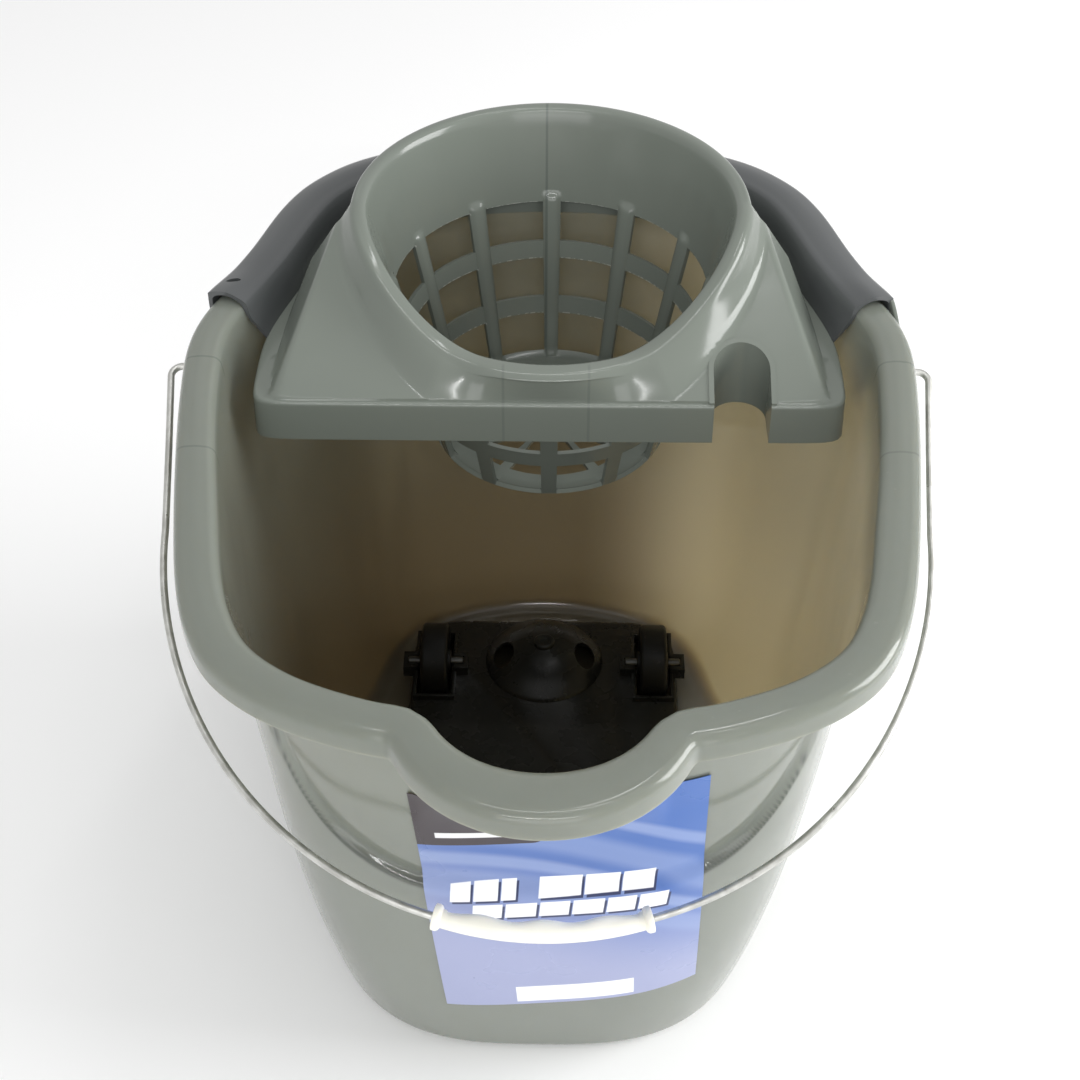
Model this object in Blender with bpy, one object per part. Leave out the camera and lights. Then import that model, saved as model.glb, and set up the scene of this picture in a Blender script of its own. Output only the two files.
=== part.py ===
"""Household mop bucket of about 15 litres with a lift-out cone wringer, a wire bail and a stowed wheel base.

Axes: +X to the right, +Y to the back, +Z up. The spout points along -Y.
Origin: on the floor, at the middle of the object's footprint.
"""

import math

import bmesh
import bpy
import numpy as np
from mathutils import Matrix

MM = 0.001

# Bucket: heights from the floor, and the plan of the rolled rim.
RIM_TOP = 275 * MM
RIM_LIP_BOTTOM = 263 * MM
RIM_WIDTH = 16 * MM
FRONT_RIM_WIDTH = 17.5 * MM
RIM_WIDENING_LENGTH = 80 * MM
SPOUT_RIM_WIDTH = 21 * MM
RIM_CROWN = 2.5 * MM
WALL = 2.3 * MM
FLOOR_UNDERSIDE = 3.2 * MM
FLOOR_TOP = 5.5 * MM
FOOT_WIDTH = 6 * MM
# Half of the rim's outer edge seen from above, back to front, without the spout. The other half mirrors it.
RIM_HALF_PLAN = [
    (0, 220), (46, 215), (90, 199), (114, 178), (127, 154), (138, 117), (148, 90), (156.5, 68), (160, 44),
    (158, 9), (153.5, -32), (147.5, -75), (142, -106), (135, -130), (123.5, -151), (103, -168.5), (77, -180.5),
    (50, -187), (0, -188),
]
BASE_X = -2.5 * MM  # the base lies a little to the left of the rim
BASE_HALF_WIDTH = 109 * MM
BASE_BACK_Y = 156 * MM
BASE_FRONT_Y = -133 * MM
BASE_SHARPNESS = 3.0  # exponent of the superellipse that rounds the base's front
BELLY = 5 * MM
SPOUT_DEPTH = 34.5 * MM
SPOUT_HALF_WIDTH = 54 * MM
SPOUT_FADE_BOTTOM = 190 * MM
BUCKET_COLUMNS = 84
WALL_RINGS = (9 * MM, 80 * MM, 150 * MM, SPOUT_FADE_BOTTOM, 230 * MM, RIM_TOP - WALL - RIM_CROWN)

# Wringer: a cone basket hanging from a hood, whose collar hooks over the back of the rim.
CONE_Y = 111.5 * MM
BASKET_BOTTOM = 178 * MM
BASKET_RADIUS = 55 * MM
CONE_SLOPE = 0.226
BASE_RING = 3.9 * MM
WINDOW_HEIGHT = 20.2 * MM
WINDOW_PITCH = 29.1 * MM
WINDOW_ROWS = 3
RIBS = 12
RIB_DEGREES = 7.0
WINDOW_COLUMNS = 3
FLOOR_HOLE_INNER = 16 * MM
FLOOR_HOLE_OUTER = 43 * MM
OPENING_BACK_Z = 304 * MM
OPENING_FRONT_Z = 271.3 * MM
CREST_RISE = 2.5 * MM
RIM_LIP_WIDTH = 10 * MM
HOOD_BASE_Z = 258 * MM
HOOD_FRONT_Y = 23.5 * MM
HOOD_HALF_WIDTH = 132 * MM
HOOD_SIDE_X = 123 * MM
HOOD_FRONT_SLOPE = 0.447
HOOD_SIDE_SLOPE = 1.52
HOOD_BACK_SLOPE = 6.0
HOOD_TOP_Z = 296 * MM
LEDGE_WIDTH = 8.6 * MM
FRONT_LIP_WIDTH = 2.6 * MM
SKIRT_BOTTOM = 238 * MM
SKIRT_BACK_BOTTOM = 247 * MM
COLLAR_FRONT_Y = 78 * MM
COLLAR_SKIN = 2.0 * MM
WRINGER_WALL = 2.0 * MM
COLLAR_LIP_BOTTOM = 268 * MM
NOTCH_X = 85 * MM
NOTCH_RADIUS = 12.5 * MM
NOTCH_BACK_Y = 52.5 * MM
GAP = 0.4 * MM

# Bail: a bent wire with a clip-on grip, hung from two ears under the rim.
PIVOT_Y = 53.5 * MM
PIVOT_Z = 255 * MM
WIRE_RADIUS = 1.6 * MM
BAIL_PIVOT_X = 170 * MM
BAIL_HALF_WIDTH = 165 * MM
BAIL_LEG = 82 * MM
BAIL_BOW = 174 * MM
BAIL_REST_DEGREES = 22
BAIL_END_X = 149 * MM
EAR_HALF_LENGTH = 10 * MM
EAR_BOTTOM = 245 * MM
EAR_HOLE_RADIUS = 2.3 * MM
GRIP_HALF_LENGTH = 43.5 * MM
GRIP_RADIUS = 4.3 * MM
GRIP_BORE = 1.9 * MM
GRIP_COLLAR_RADIUS = 5.4 * MM

# Label on the front wall.
LABEL_CORNERS = {  # (x, height) of each corner, stuck on a little askew
    "bottom_left": (-43 * MM, 50 * MM), "bottom_right": (67 * MM, 66 * MM),
    "top_left": (-52 * MM, 216 * MM), "top_right": (63 * MM, 227 * MM),
}
LABEL_THICKNESS = 0.4 * MM
LABEL_GAP = 1.0 * MM

# Wheel base, stowed on the bucket's floor.
PLATE_HALF_WIDTH = 72 * MM
PLATE_BACK_Y = 129 * MM
PLATE_FRONT_Y = -105 * MM
PLATE_CORNER = 26 * MM
PLATE_TOP = 22 * MM
PLATE_THICKNESS = 2.5 * MM
PLATE_SKIRT_BOTTOM = 5.9 * MM
WHEEL_RADIUS = 20.7 * MM
WHEEL_HALF_WIDTH = 7.2 * MM
WHEEL_X = 59 * MM
WHEEL_REAR_Y = 92 * MM
WHEEL_FRONT_Y = -68 * MM
WHEEL_Z = FLOOR_TOP + WHEEL_RADIUS + GAP
HUB_RADIUS = 6 * MM
HUB_PROUD = 1.2 * MM
WEB_RADIUS = 15 * MM
WEB_DEPTH = 2 * MM
TYRE_ROUND = 1.6 * MM
AXLE_RADIUS = 2.5 * MM
AXLE_HALF_LENGTH = 15 * MM
AXLE_PLAY = 0.3 * MM
WELL_CLEARANCE = 2.2 * MM
WELL_RIM = 1.8 * MM
WELL_RIM_HEIGHT = 3 * MM
CRADLE_HALF_LENGTH = 17.5 * MM
CRADLE_HALF_WIDTH = 6 * MM
CRADLE_HEADROOM = 9 * MM
DOME_Y = 98 * MM
DOME_RADIUS = 32 * MM
DOME_HEIGHT = 13 * MM
DOME_BOSS_RADIUS = 5.5 * MM
DOME_BOSS_HEIGHT = 2 * MM
DOME_HOLE_X = 22 * MM
DOME_HOLE_Y = 95 * MM
DOME_HOLE_RADIUS = 5.5 * MM
DOME_HOLE_STRETCH = 1.6
DOME_CUT = 10 * MM

COLORS = {
    "bucket_plastic": (0.24, 0.27, 0.24, 0.32, 0.0),
    "wringer_plastic": (0.22, 0.25, 0.23, 0.32, 0.0),
    "galvanised_wire": (0.55, 0.56, 0.54, 0.35, 1.0),
    "grip_plastic": (0.86, 0.84, 0.74, 0.40, 0.0),
    "label_film": (0.26, 0.35, 0.75, 0.30, 0.0),
    "base_plastic": (0.035, 0.034, 0.030, 0.45, 0.0),
    "wheel_plastic": (0.020, 0.020, 0.019, 0.50, 0.0),
    "axle_steel": (0.12, 0.12, 0.12, 0.40, 1.0),
}


def clear_scene():
    for item in list(bpy.data.objects):
        bpy.data.objects.remove(item, do_unlink=True)


def material(name):
    found = bpy.data.materials.get(name)
    if found:
        return found
    made = bpy.data.materials.new(name)
    made.use_nodes = True
    shader = made.node_tree.nodes["Principled BSDF"]
    red, green, blue, roughness, metallic = COLORS[name]
    shader.inputs["Base Color"].default_value = (red, green, blue, 1)
    shader.inputs["Roughness"].default_value = roughness
    shader.inputs["Metallic"].default_value = metallic
    return made


def mesh_object(name, points, faces, slot, smooth=True):
    mesh = bpy.data.meshes.new(name)
    mesh.from_pydata([tuple(map(float, p)) for p in points], [], faces)
    bm = bmesh.new()
    bm.from_mesh(mesh)
    bmesh.ops.recalc_face_normals(bm, faces=bm.faces)
    bm.to_mesh(mesh)
    bm.free()
    made = bpy.data.objects.new(name, mesh)
    bpy.context.scene.collection.objects.link(made)
    made.data.materials.append(material(slot))
    if smooth:
        mesh.shade_smooth()
        mesh.set_sharp_from_angle(angle=math.radians(38))
    return made


def boolean(target, tool, operation):
    cut = target.modifiers.new(tool.name, "BOOLEAN")
    cut.operation = operation
    cut.object = tool
    tool.hide_render = True
    tool.display_type = "WIRE"


def smoothstep(value):
    value = np.clip(value, 0, 1)
    return value * value * (3 - 2 * value)


# ---------------------------------------------------------------- outlines

def smooth_closed(corners, steps=24):
    """A closed Catmull-Rom curve through the corners."""
    corners = np.array(corners, float)
    before, after, beyond = (np.roll(corners, shift, axis=0) for shift in (1, -1, -2))
    curve = []
    for t in np.arange(steps) / steps:
        curve.append(0.5 * (
            2 * corners
            + (after - before) * t
            + (2 * before - 5 * corners + 4 * after - beyond) * t ** 2
            + (3 * corners - before - 3 * after + beyond) * t ** 3
        ))
    return np.array(curve).transpose(1, 0, 2).reshape(-1, 2)


def resample(outline, count, weight):
    """The closed outline with count points, closer together where the weight is larger."""
    ring = np.vstack([outline, outline[:1]])
    lengths = np.linalg.norm(np.diff(ring, axis=0), axis=1)
    middle = (ring[1:] + ring[:-1]) / 2
    travelled = np.concatenate([[0], np.cumsum(lengths * weight(middle))])
    wanted = np.arange(count) / count * travelled[-1]
    return np.stack([np.interp(wanted, travelled, ring[:, axis]) for axis in (0, 1)], axis=1)


def inset(outline, distance):
    """The outline moved inwards by distance, which may differ from point to point."""
    along = np.roll(outline, -1, axis=0) - np.roll(outline, 1, axis=0)
    along /= np.linalg.norm(along, axis=1)[:, None]
    inward = np.stack([along[:, 1], -along[:, 0]], axis=1)
    if (inward * (outline.mean(axis=0) - outline)).sum() < 0:
        inward = -inward
    return outline + inward * np.reshape(np.broadcast_to(distance, len(outline)), (-1, 1))


def plain_rim():
    half = np.array(RIM_HALF_PLAN) * MM
    other = half[1:-1][::-1] * [-1, 1]
    near_spout = 2 * SPOUT_HALF_WIDTH

    def weight(middle):
        front = (middle[:, 1] < BASE_FRONT_Y) & (abs(middle[:, 0]) < near_spout)
        return np.where(front, 1.8, 1.0)

    return resample(smooth_closed(np.vstack([half, other])), BUCKET_COLUMNS, weight)


def spout_bulge(x):
    """How far the spout's round nose stands out of the straight front at this x."""
    radius = (SPOUT_HALF_WIDTH ** 2 + SPOUT_DEPTH ** 2) / (2 * SPOUT_DEPTH)
    nose = np.sqrt(np.maximum(radius ** 2 - x ** 2, 0)) - (radius - SPOUT_DEPTH)
    return np.maximum(nose, 0)


def base_outline(rim):
    """The rim's plan drawn in to the base's size, its front rounded to a superellipse."""
    low, high = rim.min(axis=0), rim.max(axis=0)
    share_x = rim[:, 0] / high[0]
    y = BASE_FRONT_Y + (rim[:, 1] - low[1]) / (high[1] - low[1]) * (BASE_BACK_Y - BASE_FRONT_Y)
    widest_y = y[np.argmax(share_x)]
    share_y = np.maximum((widest_y - y) / (widest_y - BASE_FRONT_Y), 0)
    reach = (np.abs(share_x) ** BASE_SHARPNESS + share_y ** BASE_SHARPNESS) ** (-1 / BASE_SHARPNESS)
    front = share_y > 0
    x = BASE_X + BASE_HALF_WIDTH * np.where(front, share_x * reach, share_x)
    return np.stack([x, np.where(front, widest_y - share_y * reach * (widest_y - BASE_FRONT_Y), y)], axis=1)


class BucketPlan:
    """The bucket's outlines: rim edges at the top, wall at any height."""

    def __init__(self):
        self.plain = plain_rim()
        front = self.plain[:, 1] < 0
        bulge = np.where(front, spout_bulge(self.plain[:, 0]), 0)
        self.rim = self.plain - np.stack([np.zeros_like(bulge), bulge], axis=1)
        frontness = smoothstep(-self.plain[:, 1] / RIM_WIDENING_LENGTH)
        plain_width = RIM_WIDTH + (FRONT_RIM_WIDTH - RIM_WIDTH) * frontness
        self.width = plain_width + (SPOUT_RIM_WIDTH - plain_width) * bulge / SPOUT_DEPTH
        self.top_plain = inset(self.plain, plain_width)
        self.top = inset(self.rim, self.width)
        self.base = base_outline(self.plain)

    def wall(self, z, outwards=0.0):
        """The wall's inner face at height z, or the line this far outside it."""
        rise = z / RIM_TOP
        fade = np.clip((z - SPOUT_FADE_BOTTOM) / (RIM_TOP - SPOUT_FADE_BOTTOM), 0, 1) ** 1.6
        body = inset(self.base, WALL) * (1 - rise) + self.top_plain * rise
        belly = BELLY * 6.75 * rise * (1 - rise) ** 2
        return inset(body + fade * (self.top - self.top_plain), -outwards - belly)


def polar_radius(outline, angles):
    """Distance from the cone's axis to the outline, at each angle in radians."""
    across = outline - [0, CONE_Y]
    found = np.arctan2(across[:, 1], across[:, 0])
    order = np.argsort(found)
    reach = np.linalg.norm(across, axis=1)[order]
    return np.interp(angles, found[order], reach, period=2 * math.pi)


# ---------------------------------------------------------------- shells

def ring_at(outline, z):
    return np.column_stack([outline, np.broadcast_to(z, len(outline))])


def loft(name, rings, slot):
    """A closed solid skinned over rings of equal count, with a flat cap on the first and last."""
    count = len(rings[0])
    points = np.vstack(rings)
    faces = [list(range(count)), list(range(len(points) - count, len(points)))]
    for level in range(len(rings) - 1):
        for i in range(count):
            j = (i + 1) % count
            a, b = level * count, (level + 1) * count
            faces.append([a + i, a + j, b + j, b + i])
    return mesh_object(name, points, faces, slot)


def thick_shell(name, front, back, keep, slot, closed=True, centre=None):
    """A solid between two grids of points [column][row]. keep[column][row] says which cells exist."""
    columns, rows = front.shape[:2]
    points = np.vstack([front.reshape(-1, 3), back.reshape(-1, 3)])
    behind = columns * rows
    spans = columns if closed else columns - 1
    faces = []

    def at(i, k):
        return (i % columns) * rows + k

    def kept(i, k):
        if closed:
            i %= spans
        if k == -1:
            return centre is not None
        return 0 <= i < spans and k < rows - 1 and keep[i][k]

    for i in range(spans):
        for k in range(rows - 1):
            if not kept(i, k):
                continue
            a, b, c, d = at(i, k), at(i + 1, k), at(i + 1, k + 1), at(i, k + 1)
            faces += [[a, b, c, d], [behind + d, behind + c, behind + b, behind + a]]
            if not kept(i - 1, k):
                faces.append([a, d, behind + d, behind + a])
            if not kept(i + 1, k):
                faces.append([c, b, behind + b, behind + c])
            if not kept(i, k + 1):
                faces.append([d, c, behind + c, behind + d])
            if not kept(i, k - 1):
                faces.append([b, a, behind + a, behind + b])
    if centre is not None:
        points = np.vstack([points, centre])
        top, under = len(points) - 2, len(points) - 1
        for i in range(columns):
            a, b = at(i, 0), at(i + 1, 0)
            faces += [[top, b, a], [under, behind + a, behind + b]]
            if not kept(i, 0):
                faces.append([a, b, behind + b, behind + a])
    used = sorted({p for face in faces for p in face})
    renumber = {old: new for new, old in enumerate(used)}
    return mesh_object(name, points[used], [[renumber[p] for p in face] for face in faces], slot)


def box(name, low, high, slot):
    corners = [[(low, high)[bit >> axis & 1][axis] for axis in range(3)] for bit in range(8)]
    faces = [[0, 1, 3, 2], [4, 6, 7, 5], [0, 4, 5, 1], [2, 3, 7, 6], [0, 2, 6, 4], [1, 5, 7, 3]]
    return mesh_object(name, corners, faces, slot, smooth=False)


def turned(name, profile, centre, axis, slot, steps=24):
    """A closed profile of (radius, along) points turned round an axis, X or Z, through the centre."""
    angles = np.arange(steps) / steps * 2 * math.pi
    profile = np.array(profile)
    points = []
    for angle in angles:
        for radius, along in profile:
            a, b = radius * math.cos(angle), radius * math.sin(angle)
            offset = (along, a, b) if axis == "X" else (a, b, along)
            points.append(np.array(centre) + offset)
    rows = len(profile)
    faces = []
    for i in range(steps):
        for k in range(rows):
            j, n = (i + 1) % steps, (k + 1) % rows
            faces.append([i * rows + k, j * rows + k, j * rows + n, i * rows + n])
    made = mesh_object(name, points, faces, slot)
    bm = bmesh.new()
    bm.from_mesh(made.data)
    bmesh.ops.remove_doubles(bm, verts=bm.verts, dist=1e-7)
    bmesh.ops.dissolve_degenerate(bm, edges=bm.edges, dist=1e-7)
    loose = [edge for edge in bm.edges if not edge.link_faces]
    bmesh.ops.delete(bm, geom=loose, context="EDGES")
    bmesh.ops.recalc_face_normals(bm, faces=bm.faces)
    bm.to_mesh(made.data)
    bm.free()
    return made


def rod(radius, half_length):
    """Profile of a plain round rod for turned()."""
    return [(0, -half_length), (radius, -half_length), (radius, half_length), (0, half_length)]


# ---------------------------------------------------------------- bucket

def make_bucket(plan):
    lip_inner = inset(plan.rim, WALL)
    rings = [
        ring_at(plan.wall(0, -4 * MM - FOOT_WIDTH), FLOOR_UNDERSIDE),
        ring_at(plan.wall(0, -3 * MM - FOOT_WIDTH), 0),
        ring_at(plan.wall(0, -3 * MM), 0),
        ring_at(plan.wall(0, -0.5 * MM), 1.2 * MM),
        ring_at(plan.wall(4 * MM, WALL - 0.6 * MM), 4 * MM),
    ]
    rings += [ring_at(plan.wall(z, WALL), z) for z in WALL_RINGS]
    rings += [
        ring_at(lip_inner, WALL_RINGS[-1]),
        ring_at(lip_inner, RIM_LIP_BOTTOM),
        ring_at(plan.rim, RIM_LIP_BOTTOM),
        ring_at(plan.rim, RIM_TOP - 2 * RIM_CROWN),
        ring_at(inset(plan.rim, 1.3 * MM), RIM_TOP - 0.8 * RIM_CROWN),
        ring_at(inset(plan.rim, 4.5 * MM), RIM_TOP),
        ring_at(inset(plan.rim, plan.width - 3.5 * MM), RIM_TOP),
        ring_at(inset(plan.rim, plan.width - 0.8 * MM), RIM_TOP - RIM_CROWN),
    ]
    for z in (265 * MM, 230 * MM, SPOUT_FADE_BOTTOM, 150 * MM, 80 * MM, 20 * MM):
        rings.append(ring_at(plan.wall(z), z))
    rings += [
        ring_at(plan.wall(10 * MM, -1.5 * MM), 10 * MM),
        ring_at(plan.wall(FLOOR_TOP, -5 * MM), FLOOR_TOP),
    ]
    bucket = loft("bucket", rings, "bucket_plastic")
    right = plan.rim[plan.rim[:, 0] > 0]
    order = np.argsort(right[:, 1])
    rim_x = np.interp(PIVOT_Y, right[order, 1], right[order, 0])
    for name, side in (("ear_left", -1), ("ear_right", 1)):
        ends = sorted((side * (rim_x - 3.2 * MM), side * (rim_x - 0.6 * MM)))
        ear = box(
            name,
            (ends[0], PIVOT_Y - EAR_HALF_LENGTH, EAR_BOTTOM),
            (ends[1], PIVOT_Y + EAR_HALF_LENGTH, RIM_LIP_BOTTOM + 3 * MM),
            "bucket_plastic",
        )
        boolean(bucket, ear, "UNION")
    for name, side in (("pivot_hole_left", -1), ("pivot_hole_right", 1)):
        profile = rod(EAR_HOLE_RADIUS, 6 * MM)
        hole = turned(name, profile, (side * rim_x, PIVOT_Y, PIVOT_Z), "X", "bucket_plastic", steps=12)
        boolean(bucket, hole, "DIFFERENCE")
    return bucket


# ---------------------------------------------------------------- wringer

def cone_radius(z):
    return BASKET_RADIUS + CONE_SLOPE * (z - BASKET_BOTTOM)


def column_angles():
    """Column angles round the cone: a rib is one column wide, a window several."""
    rib = math.radians(RIB_DEGREES)
    window = 2 * math.pi / RIBS - rib
    angles, is_rib = [], []
    for index in range(RIBS):
        start = math.pi / 2 + index * 2 * math.pi / RIBS - rib / 2
        angles.append(start)
        is_rib.append(True)
        for step in range(WINDOW_COLUMNS):
            angles.append(start + rib + window * step / WINDOW_COLUMNS)
            is_rib.append(False)
    return np.array(angles), is_rib


def opening_height(angles):
    """Height of the cone's upper edge: level round the back, dipping at the front."""
    from_front = np.degrees(np.abs((angles + math.pi / 2 + math.pi) % (2 * math.pi) - math.pi))
    return OPENING_FRONT_Z + (OPENING_BACK_Z - OPENING_FRONT_Z) * smoothstep((from_front - 21) / 68)


def ledge_radius(plan, angles):
    """Outer edge of the hood's ledge: a round-cornered rectangle in front, the bucket's wall behind."""
    room = plan.wall(HOOD_BASE_Z, -2 * GAP)
    side = HOOD_HALF_WIDTH / np.maximum(np.abs(np.cos(angles)), 1e-6)
    front = (CONE_Y - HOOD_FRONT_Y) / np.maximum(-np.sin(angles), 1e-6)
    sharpness = 26
    total = polar_radius(room, angles) ** -sharpness + side ** -sharpness + front ** -sharpness
    return total ** (-1 / sharpness)


def ledge_width(angles):
    """The ledge is narrow along the front lip, full along the sides and a little less at the back."""
    sine = np.sin(angles)
    side = (LEDGE_WIDTH - FRONT_LIP_WIDTH) * smoothstep((sine + 0.62) / 0.25)
    back = 1 - 0.8 * smoothstep((sine - 0.55) / 0.4)
    return FRONT_LIP_WIDTH + side * back


def hood_height(x, y, base_radius, radius):
    """Height of the hood's slope: the lowest of its front, side and back faces."""
    front = HOOD_BASE_Z + (y - HOOD_FRONT_Y) * HOOD_FRONT_SLOPE
    backness = smoothstep((y - CONE_Y) / radius)
    run = np.where(y < CONE_Y, HOOD_SIDE_X - np.abs(x), base_radius - radius)
    slope = HOOD_SIDE_SLOPE + (HOOD_BACK_SLOPE - HOOD_SIDE_SLOPE) * backness
    flank = HOOD_BASE_Z + np.maximum(run, 0) * slope
    return np.minimum(np.minimum(front, flank), HOOD_TOP_Z)


def wringer_rows(plan, angles):
    """The wringer's upper surface as rows of points, from the basket's floor out to the skirt's edge."""
    sine, cosine = np.sin(angles), np.cos(angles)

    def row(radius, z):
        radius = np.broadcast_to(radius, len(angles))
        z = np.broadcast_to(z, len(angles))
        return np.column_stack([radius * cosine, CONE_Y + radius * sine, z])

    floor_z = BASKET_BOTTOM + WRINGER_WALL
    rows = [row(r, floor_z) for r in (FLOOR_HOLE_INNER, FLOOR_HOLE_OUTER, cone_radius(floor_z) - 2 * MM)]
    for index in range(WINDOW_ROWS):
        bottom = BASKET_BOTTOM + BASE_RING + index * WINDOW_PITCH
        rows += [row(cone_radius(z), z) for z in (bottom, bottom + WINDOW_HEIGHT)]
    edge_z = opening_height(angles)
    rows.append(row(cone_radius(edge_z - 3 * MM), edge_z - 3 * MM))
    inner = cone_radius(edge_z)
    rows.append(row(inner + 1.0 * MM, edge_z + 0.4 * CREST_RISE))
    rows.append(row(inner + 3.8 * MM, edge_z + CREST_RISE))
    rows.append(row(inner + 7.2 * MM, edge_z + 0.6 * CREST_RISE))
    ledge = ledge_radius(plan, angles)
    base = ledge - ledge_width(angles)
    outer = inner + RIM_LIP_WIDTH
    open_hood = smoothstep((base - outer - 2 * MM) / (12 * MM))
    for share in (0.0, 0.25, 0.55, 0.8):
        radius = outer + (base - outer) * share
        height = hood_height(radius * cosine, CONE_Y + radius * sine, base, radius)
        bead = (edge_z + CREST_RISE - height) * (1 - smoothstep((radius - inner - 5 * MM) / (13 * MM)))
        sloped = height + np.maximum(bead, 0) * (1 - share)
        steep = (edge_z - 1.5 * MM) * (1 - share) + HOOD_BASE_Z * share
        rows.append(row(radius, sloped * open_hood + steep * (1 - open_hood)))
    rows.append(row(base, HOOD_BASE_Z))
    rows.append(row(ledge, HOOD_BASE_Z - 0.4 * MM))
    drop = SKIRT_BOTTOM + (SKIRT_BACK_BOTTOM - SKIRT_BOTTOM) * smoothstep((sine + 0.2) / 0.3)
    lean = 0.6 * MM - 3.4 * MM * smoothstep((sine + 0.3) / 0.2)
    rows.append(row(ledge + lean / 2, (HOOD_BASE_Z + drop) / 2))
    rows.append(row(ledge + lean, drop))
    return np.array(rows).transpose(1, 0, 2)


def offset_grid(grid, distance):
    """The grid moved along its normals, away from its upper side."""
    across = np.roll(grid, -1, axis=0) - np.roll(grid, 1, axis=0)
    along = np.empty_like(grid)
    steps = np.diff(grid, axis=1)
    steps /= np.linalg.norm(steps, axis=2)[..., None]
    along[:, 0], along[:, -1] = steps[:, 0], steps[:, -1]
    along[:, 1:-1] = steps[:, 1:] + steps[:, :-1]
    normal = np.cross(across, along)
    normal /= np.linalg.norm(normal, axis=2)[..., None]
    return grid + normal * distance


def make_hood_and_basket(plan):
    angles, is_rib = column_angles()
    front = wringer_rows(plan, angles)
    keep = np.ones((len(angles), front.shape[1] - 1), bool)
    for column, rib in enumerate(is_rib):
        if rib:
            continue
        keep[column, 0] = False
        for index in range(WINDOW_ROWS):
            keep[column, 3 + 2 * index] = False
    back = offset_grid(front, WRINGER_WALL)
    floor_z = BASKET_BOTTOM + WRINGER_WALL
    centre = np.array([[0, CONE_Y, floor_z], [0, CONE_Y, floor_z - WRINGER_WALL]])
    return thick_shell("wringer", front, back, keep, "wringer_plastic", centre=centre)


def collar_section(plan):
    """Rows of the collar's outer and inner skins, from the ledge up and over the rim."""
    across = plan.wall(HOOD_BASE_Z) - [0, CONE_Y]
    angles = np.arctan2(across[:, 1], across[:, 0])
    ledge = ledge_radius(plan, angles)

    def rows(grow):
        inner_face = -(GAP + COLLAR_SKIN) if grow else -GAP
        outer_face = GAP + COLLAR_SKIN if grow else GAP
        top = RIM_TOP + GAP + (COLLAR_SKIN if grow else 0)
        width = plan.width
        low = HOOD_BASE_Z - 1.2 * MM
        foot = ledge - (1.6 * MM if grow else 0)
        return [
            ring_at(np.column_stack([foot * np.cos(angles), CONE_Y + foot * np.sin(angles)]), low),
            ring_at(plan.wall(RIM_TOP - 6 * MM, inner_face - 0.3 * MM), RIM_TOP - 6 * MM),
            ring_at(inset(plan.rim, width - 0.6 * MM - inner_face - 0.6 * MM), top - 1.2 * MM),
            ring_at(inset(plan.rim, width - 3.0 * MM), top),
            ring_at(inset(plan.rim, 3.0 * MM), top),
            ring_at(inset(plan.rim, -outer_face), top - 1.4 * MM),
            ring_at(inset(plan.rim, -outer_face), COLLAR_LIP_BOTTOM),
        ]
    return rows(True), rows(False)


def make_collar(plan):
    outer, inner = collar_section(plan)
    behind = np.where(plan.rim[:, 1] > COLLAR_FRONT_Y)[0]
    left = behind[plan.rim[behind, 0] < 0]
    right = behind[plan.rim[behind, 0] >= 0]
    order = np.concatenate([left, right])
    order = order[np.argsort(np.arctan2(plan.rim[order, 0], plan.rim[order, 1] - CONE_Y + 0.1))]
    front = np.array(outer).transpose(1, 0, 2)[order]
    back = np.array(inner).transpose(1, 0, 2)[order]
    keep = np.ones((len(order), front.shape[1] - 1), bool)
    return thick_shell("collar", front, back, keep, "wringer_plastic", closed=False)


def make_wringer(plan):
    wringer = make_hood_and_basket(plan)
    boolean(wringer, make_collar(plan), "UNION")
    wall = notch_prism("notch_wall", NOTCH_RADIUS + WALL, HOOD_FRONT_Y + 1 * MM, SKIRT_BOTTOM, -0.4 * MM)
    boolean(wringer, wall, "UNION")
    notch = notch_prism("notch", NOTCH_RADIUS, HOOD_FRONT_Y - 10 * MM, SKIRT_BOTTOM - 5 * MM, 30 * MM)
    boolean(wringer, notch, "DIFFERENCE")
    return wringer


def notch_prism(name, radius, front_y, bottom_z, rise):
    """A U-shaped post whose top follows the hood's front slope, this much above it."""
    outline = [(NOTCH_X + radius, front_y)]
    for step in range(13):
        angle = math.pi * step / 12
        y = NOTCH_BACK_Y - NOTCH_RADIUS + radius * math.sin(angle)
        outline.append((NOTCH_X + radius * math.cos(angle), y))
    outline.append((NOTCH_X - radius, front_y))
    outline = np.array(outline)
    slope_z = HOOD_BASE_Z + (outline[:, 1] - HOOD_FRONT_Y) * HOOD_FRONT_SLOPE + rise
    return loft(name, [ring_at(outline, bottom_z), ring_at(outline, slope_z)], "wringer_plastic")


# ---------------------------------------------------------------- bail

def bail_path():
    """Centre line of the right half of the wire, from its end inside the ear to the middle of the grip."""
    bend = 5 * MM
    path = [(BAIL_END_X, 0)]
    for angle in np.linspace(-90, 0, 6):
        turn = math.radians(angle)
        path.append((BAIL_PIVOT_X - bend + bend * math.cos(turn), bend + bend * math.sin(turn)))
    for angle in np.linspace(0, 90, 28):
        turn = math.radians(angle)
        path.append((BAIL_HALF_WIDTH * math.cos(turn), BAIL_LEG + BAIL_BOW * math.sin(turn)))
    return path


def on_bail(x, reach, lift=0.0):
    """A point of the bail's own plane, in the object's frame. lift is square to that plane, upwards."""
    angle = math.radians(BAIL_REST_DEGREES)
    y = PIVOT_Y - reach * math.cos(angle) - lift * math.sin(angle)
    z = PIVOT_Z - reach * math.sin(angle) + lift * math.cos(angle)
    return (x, y, z)


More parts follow.
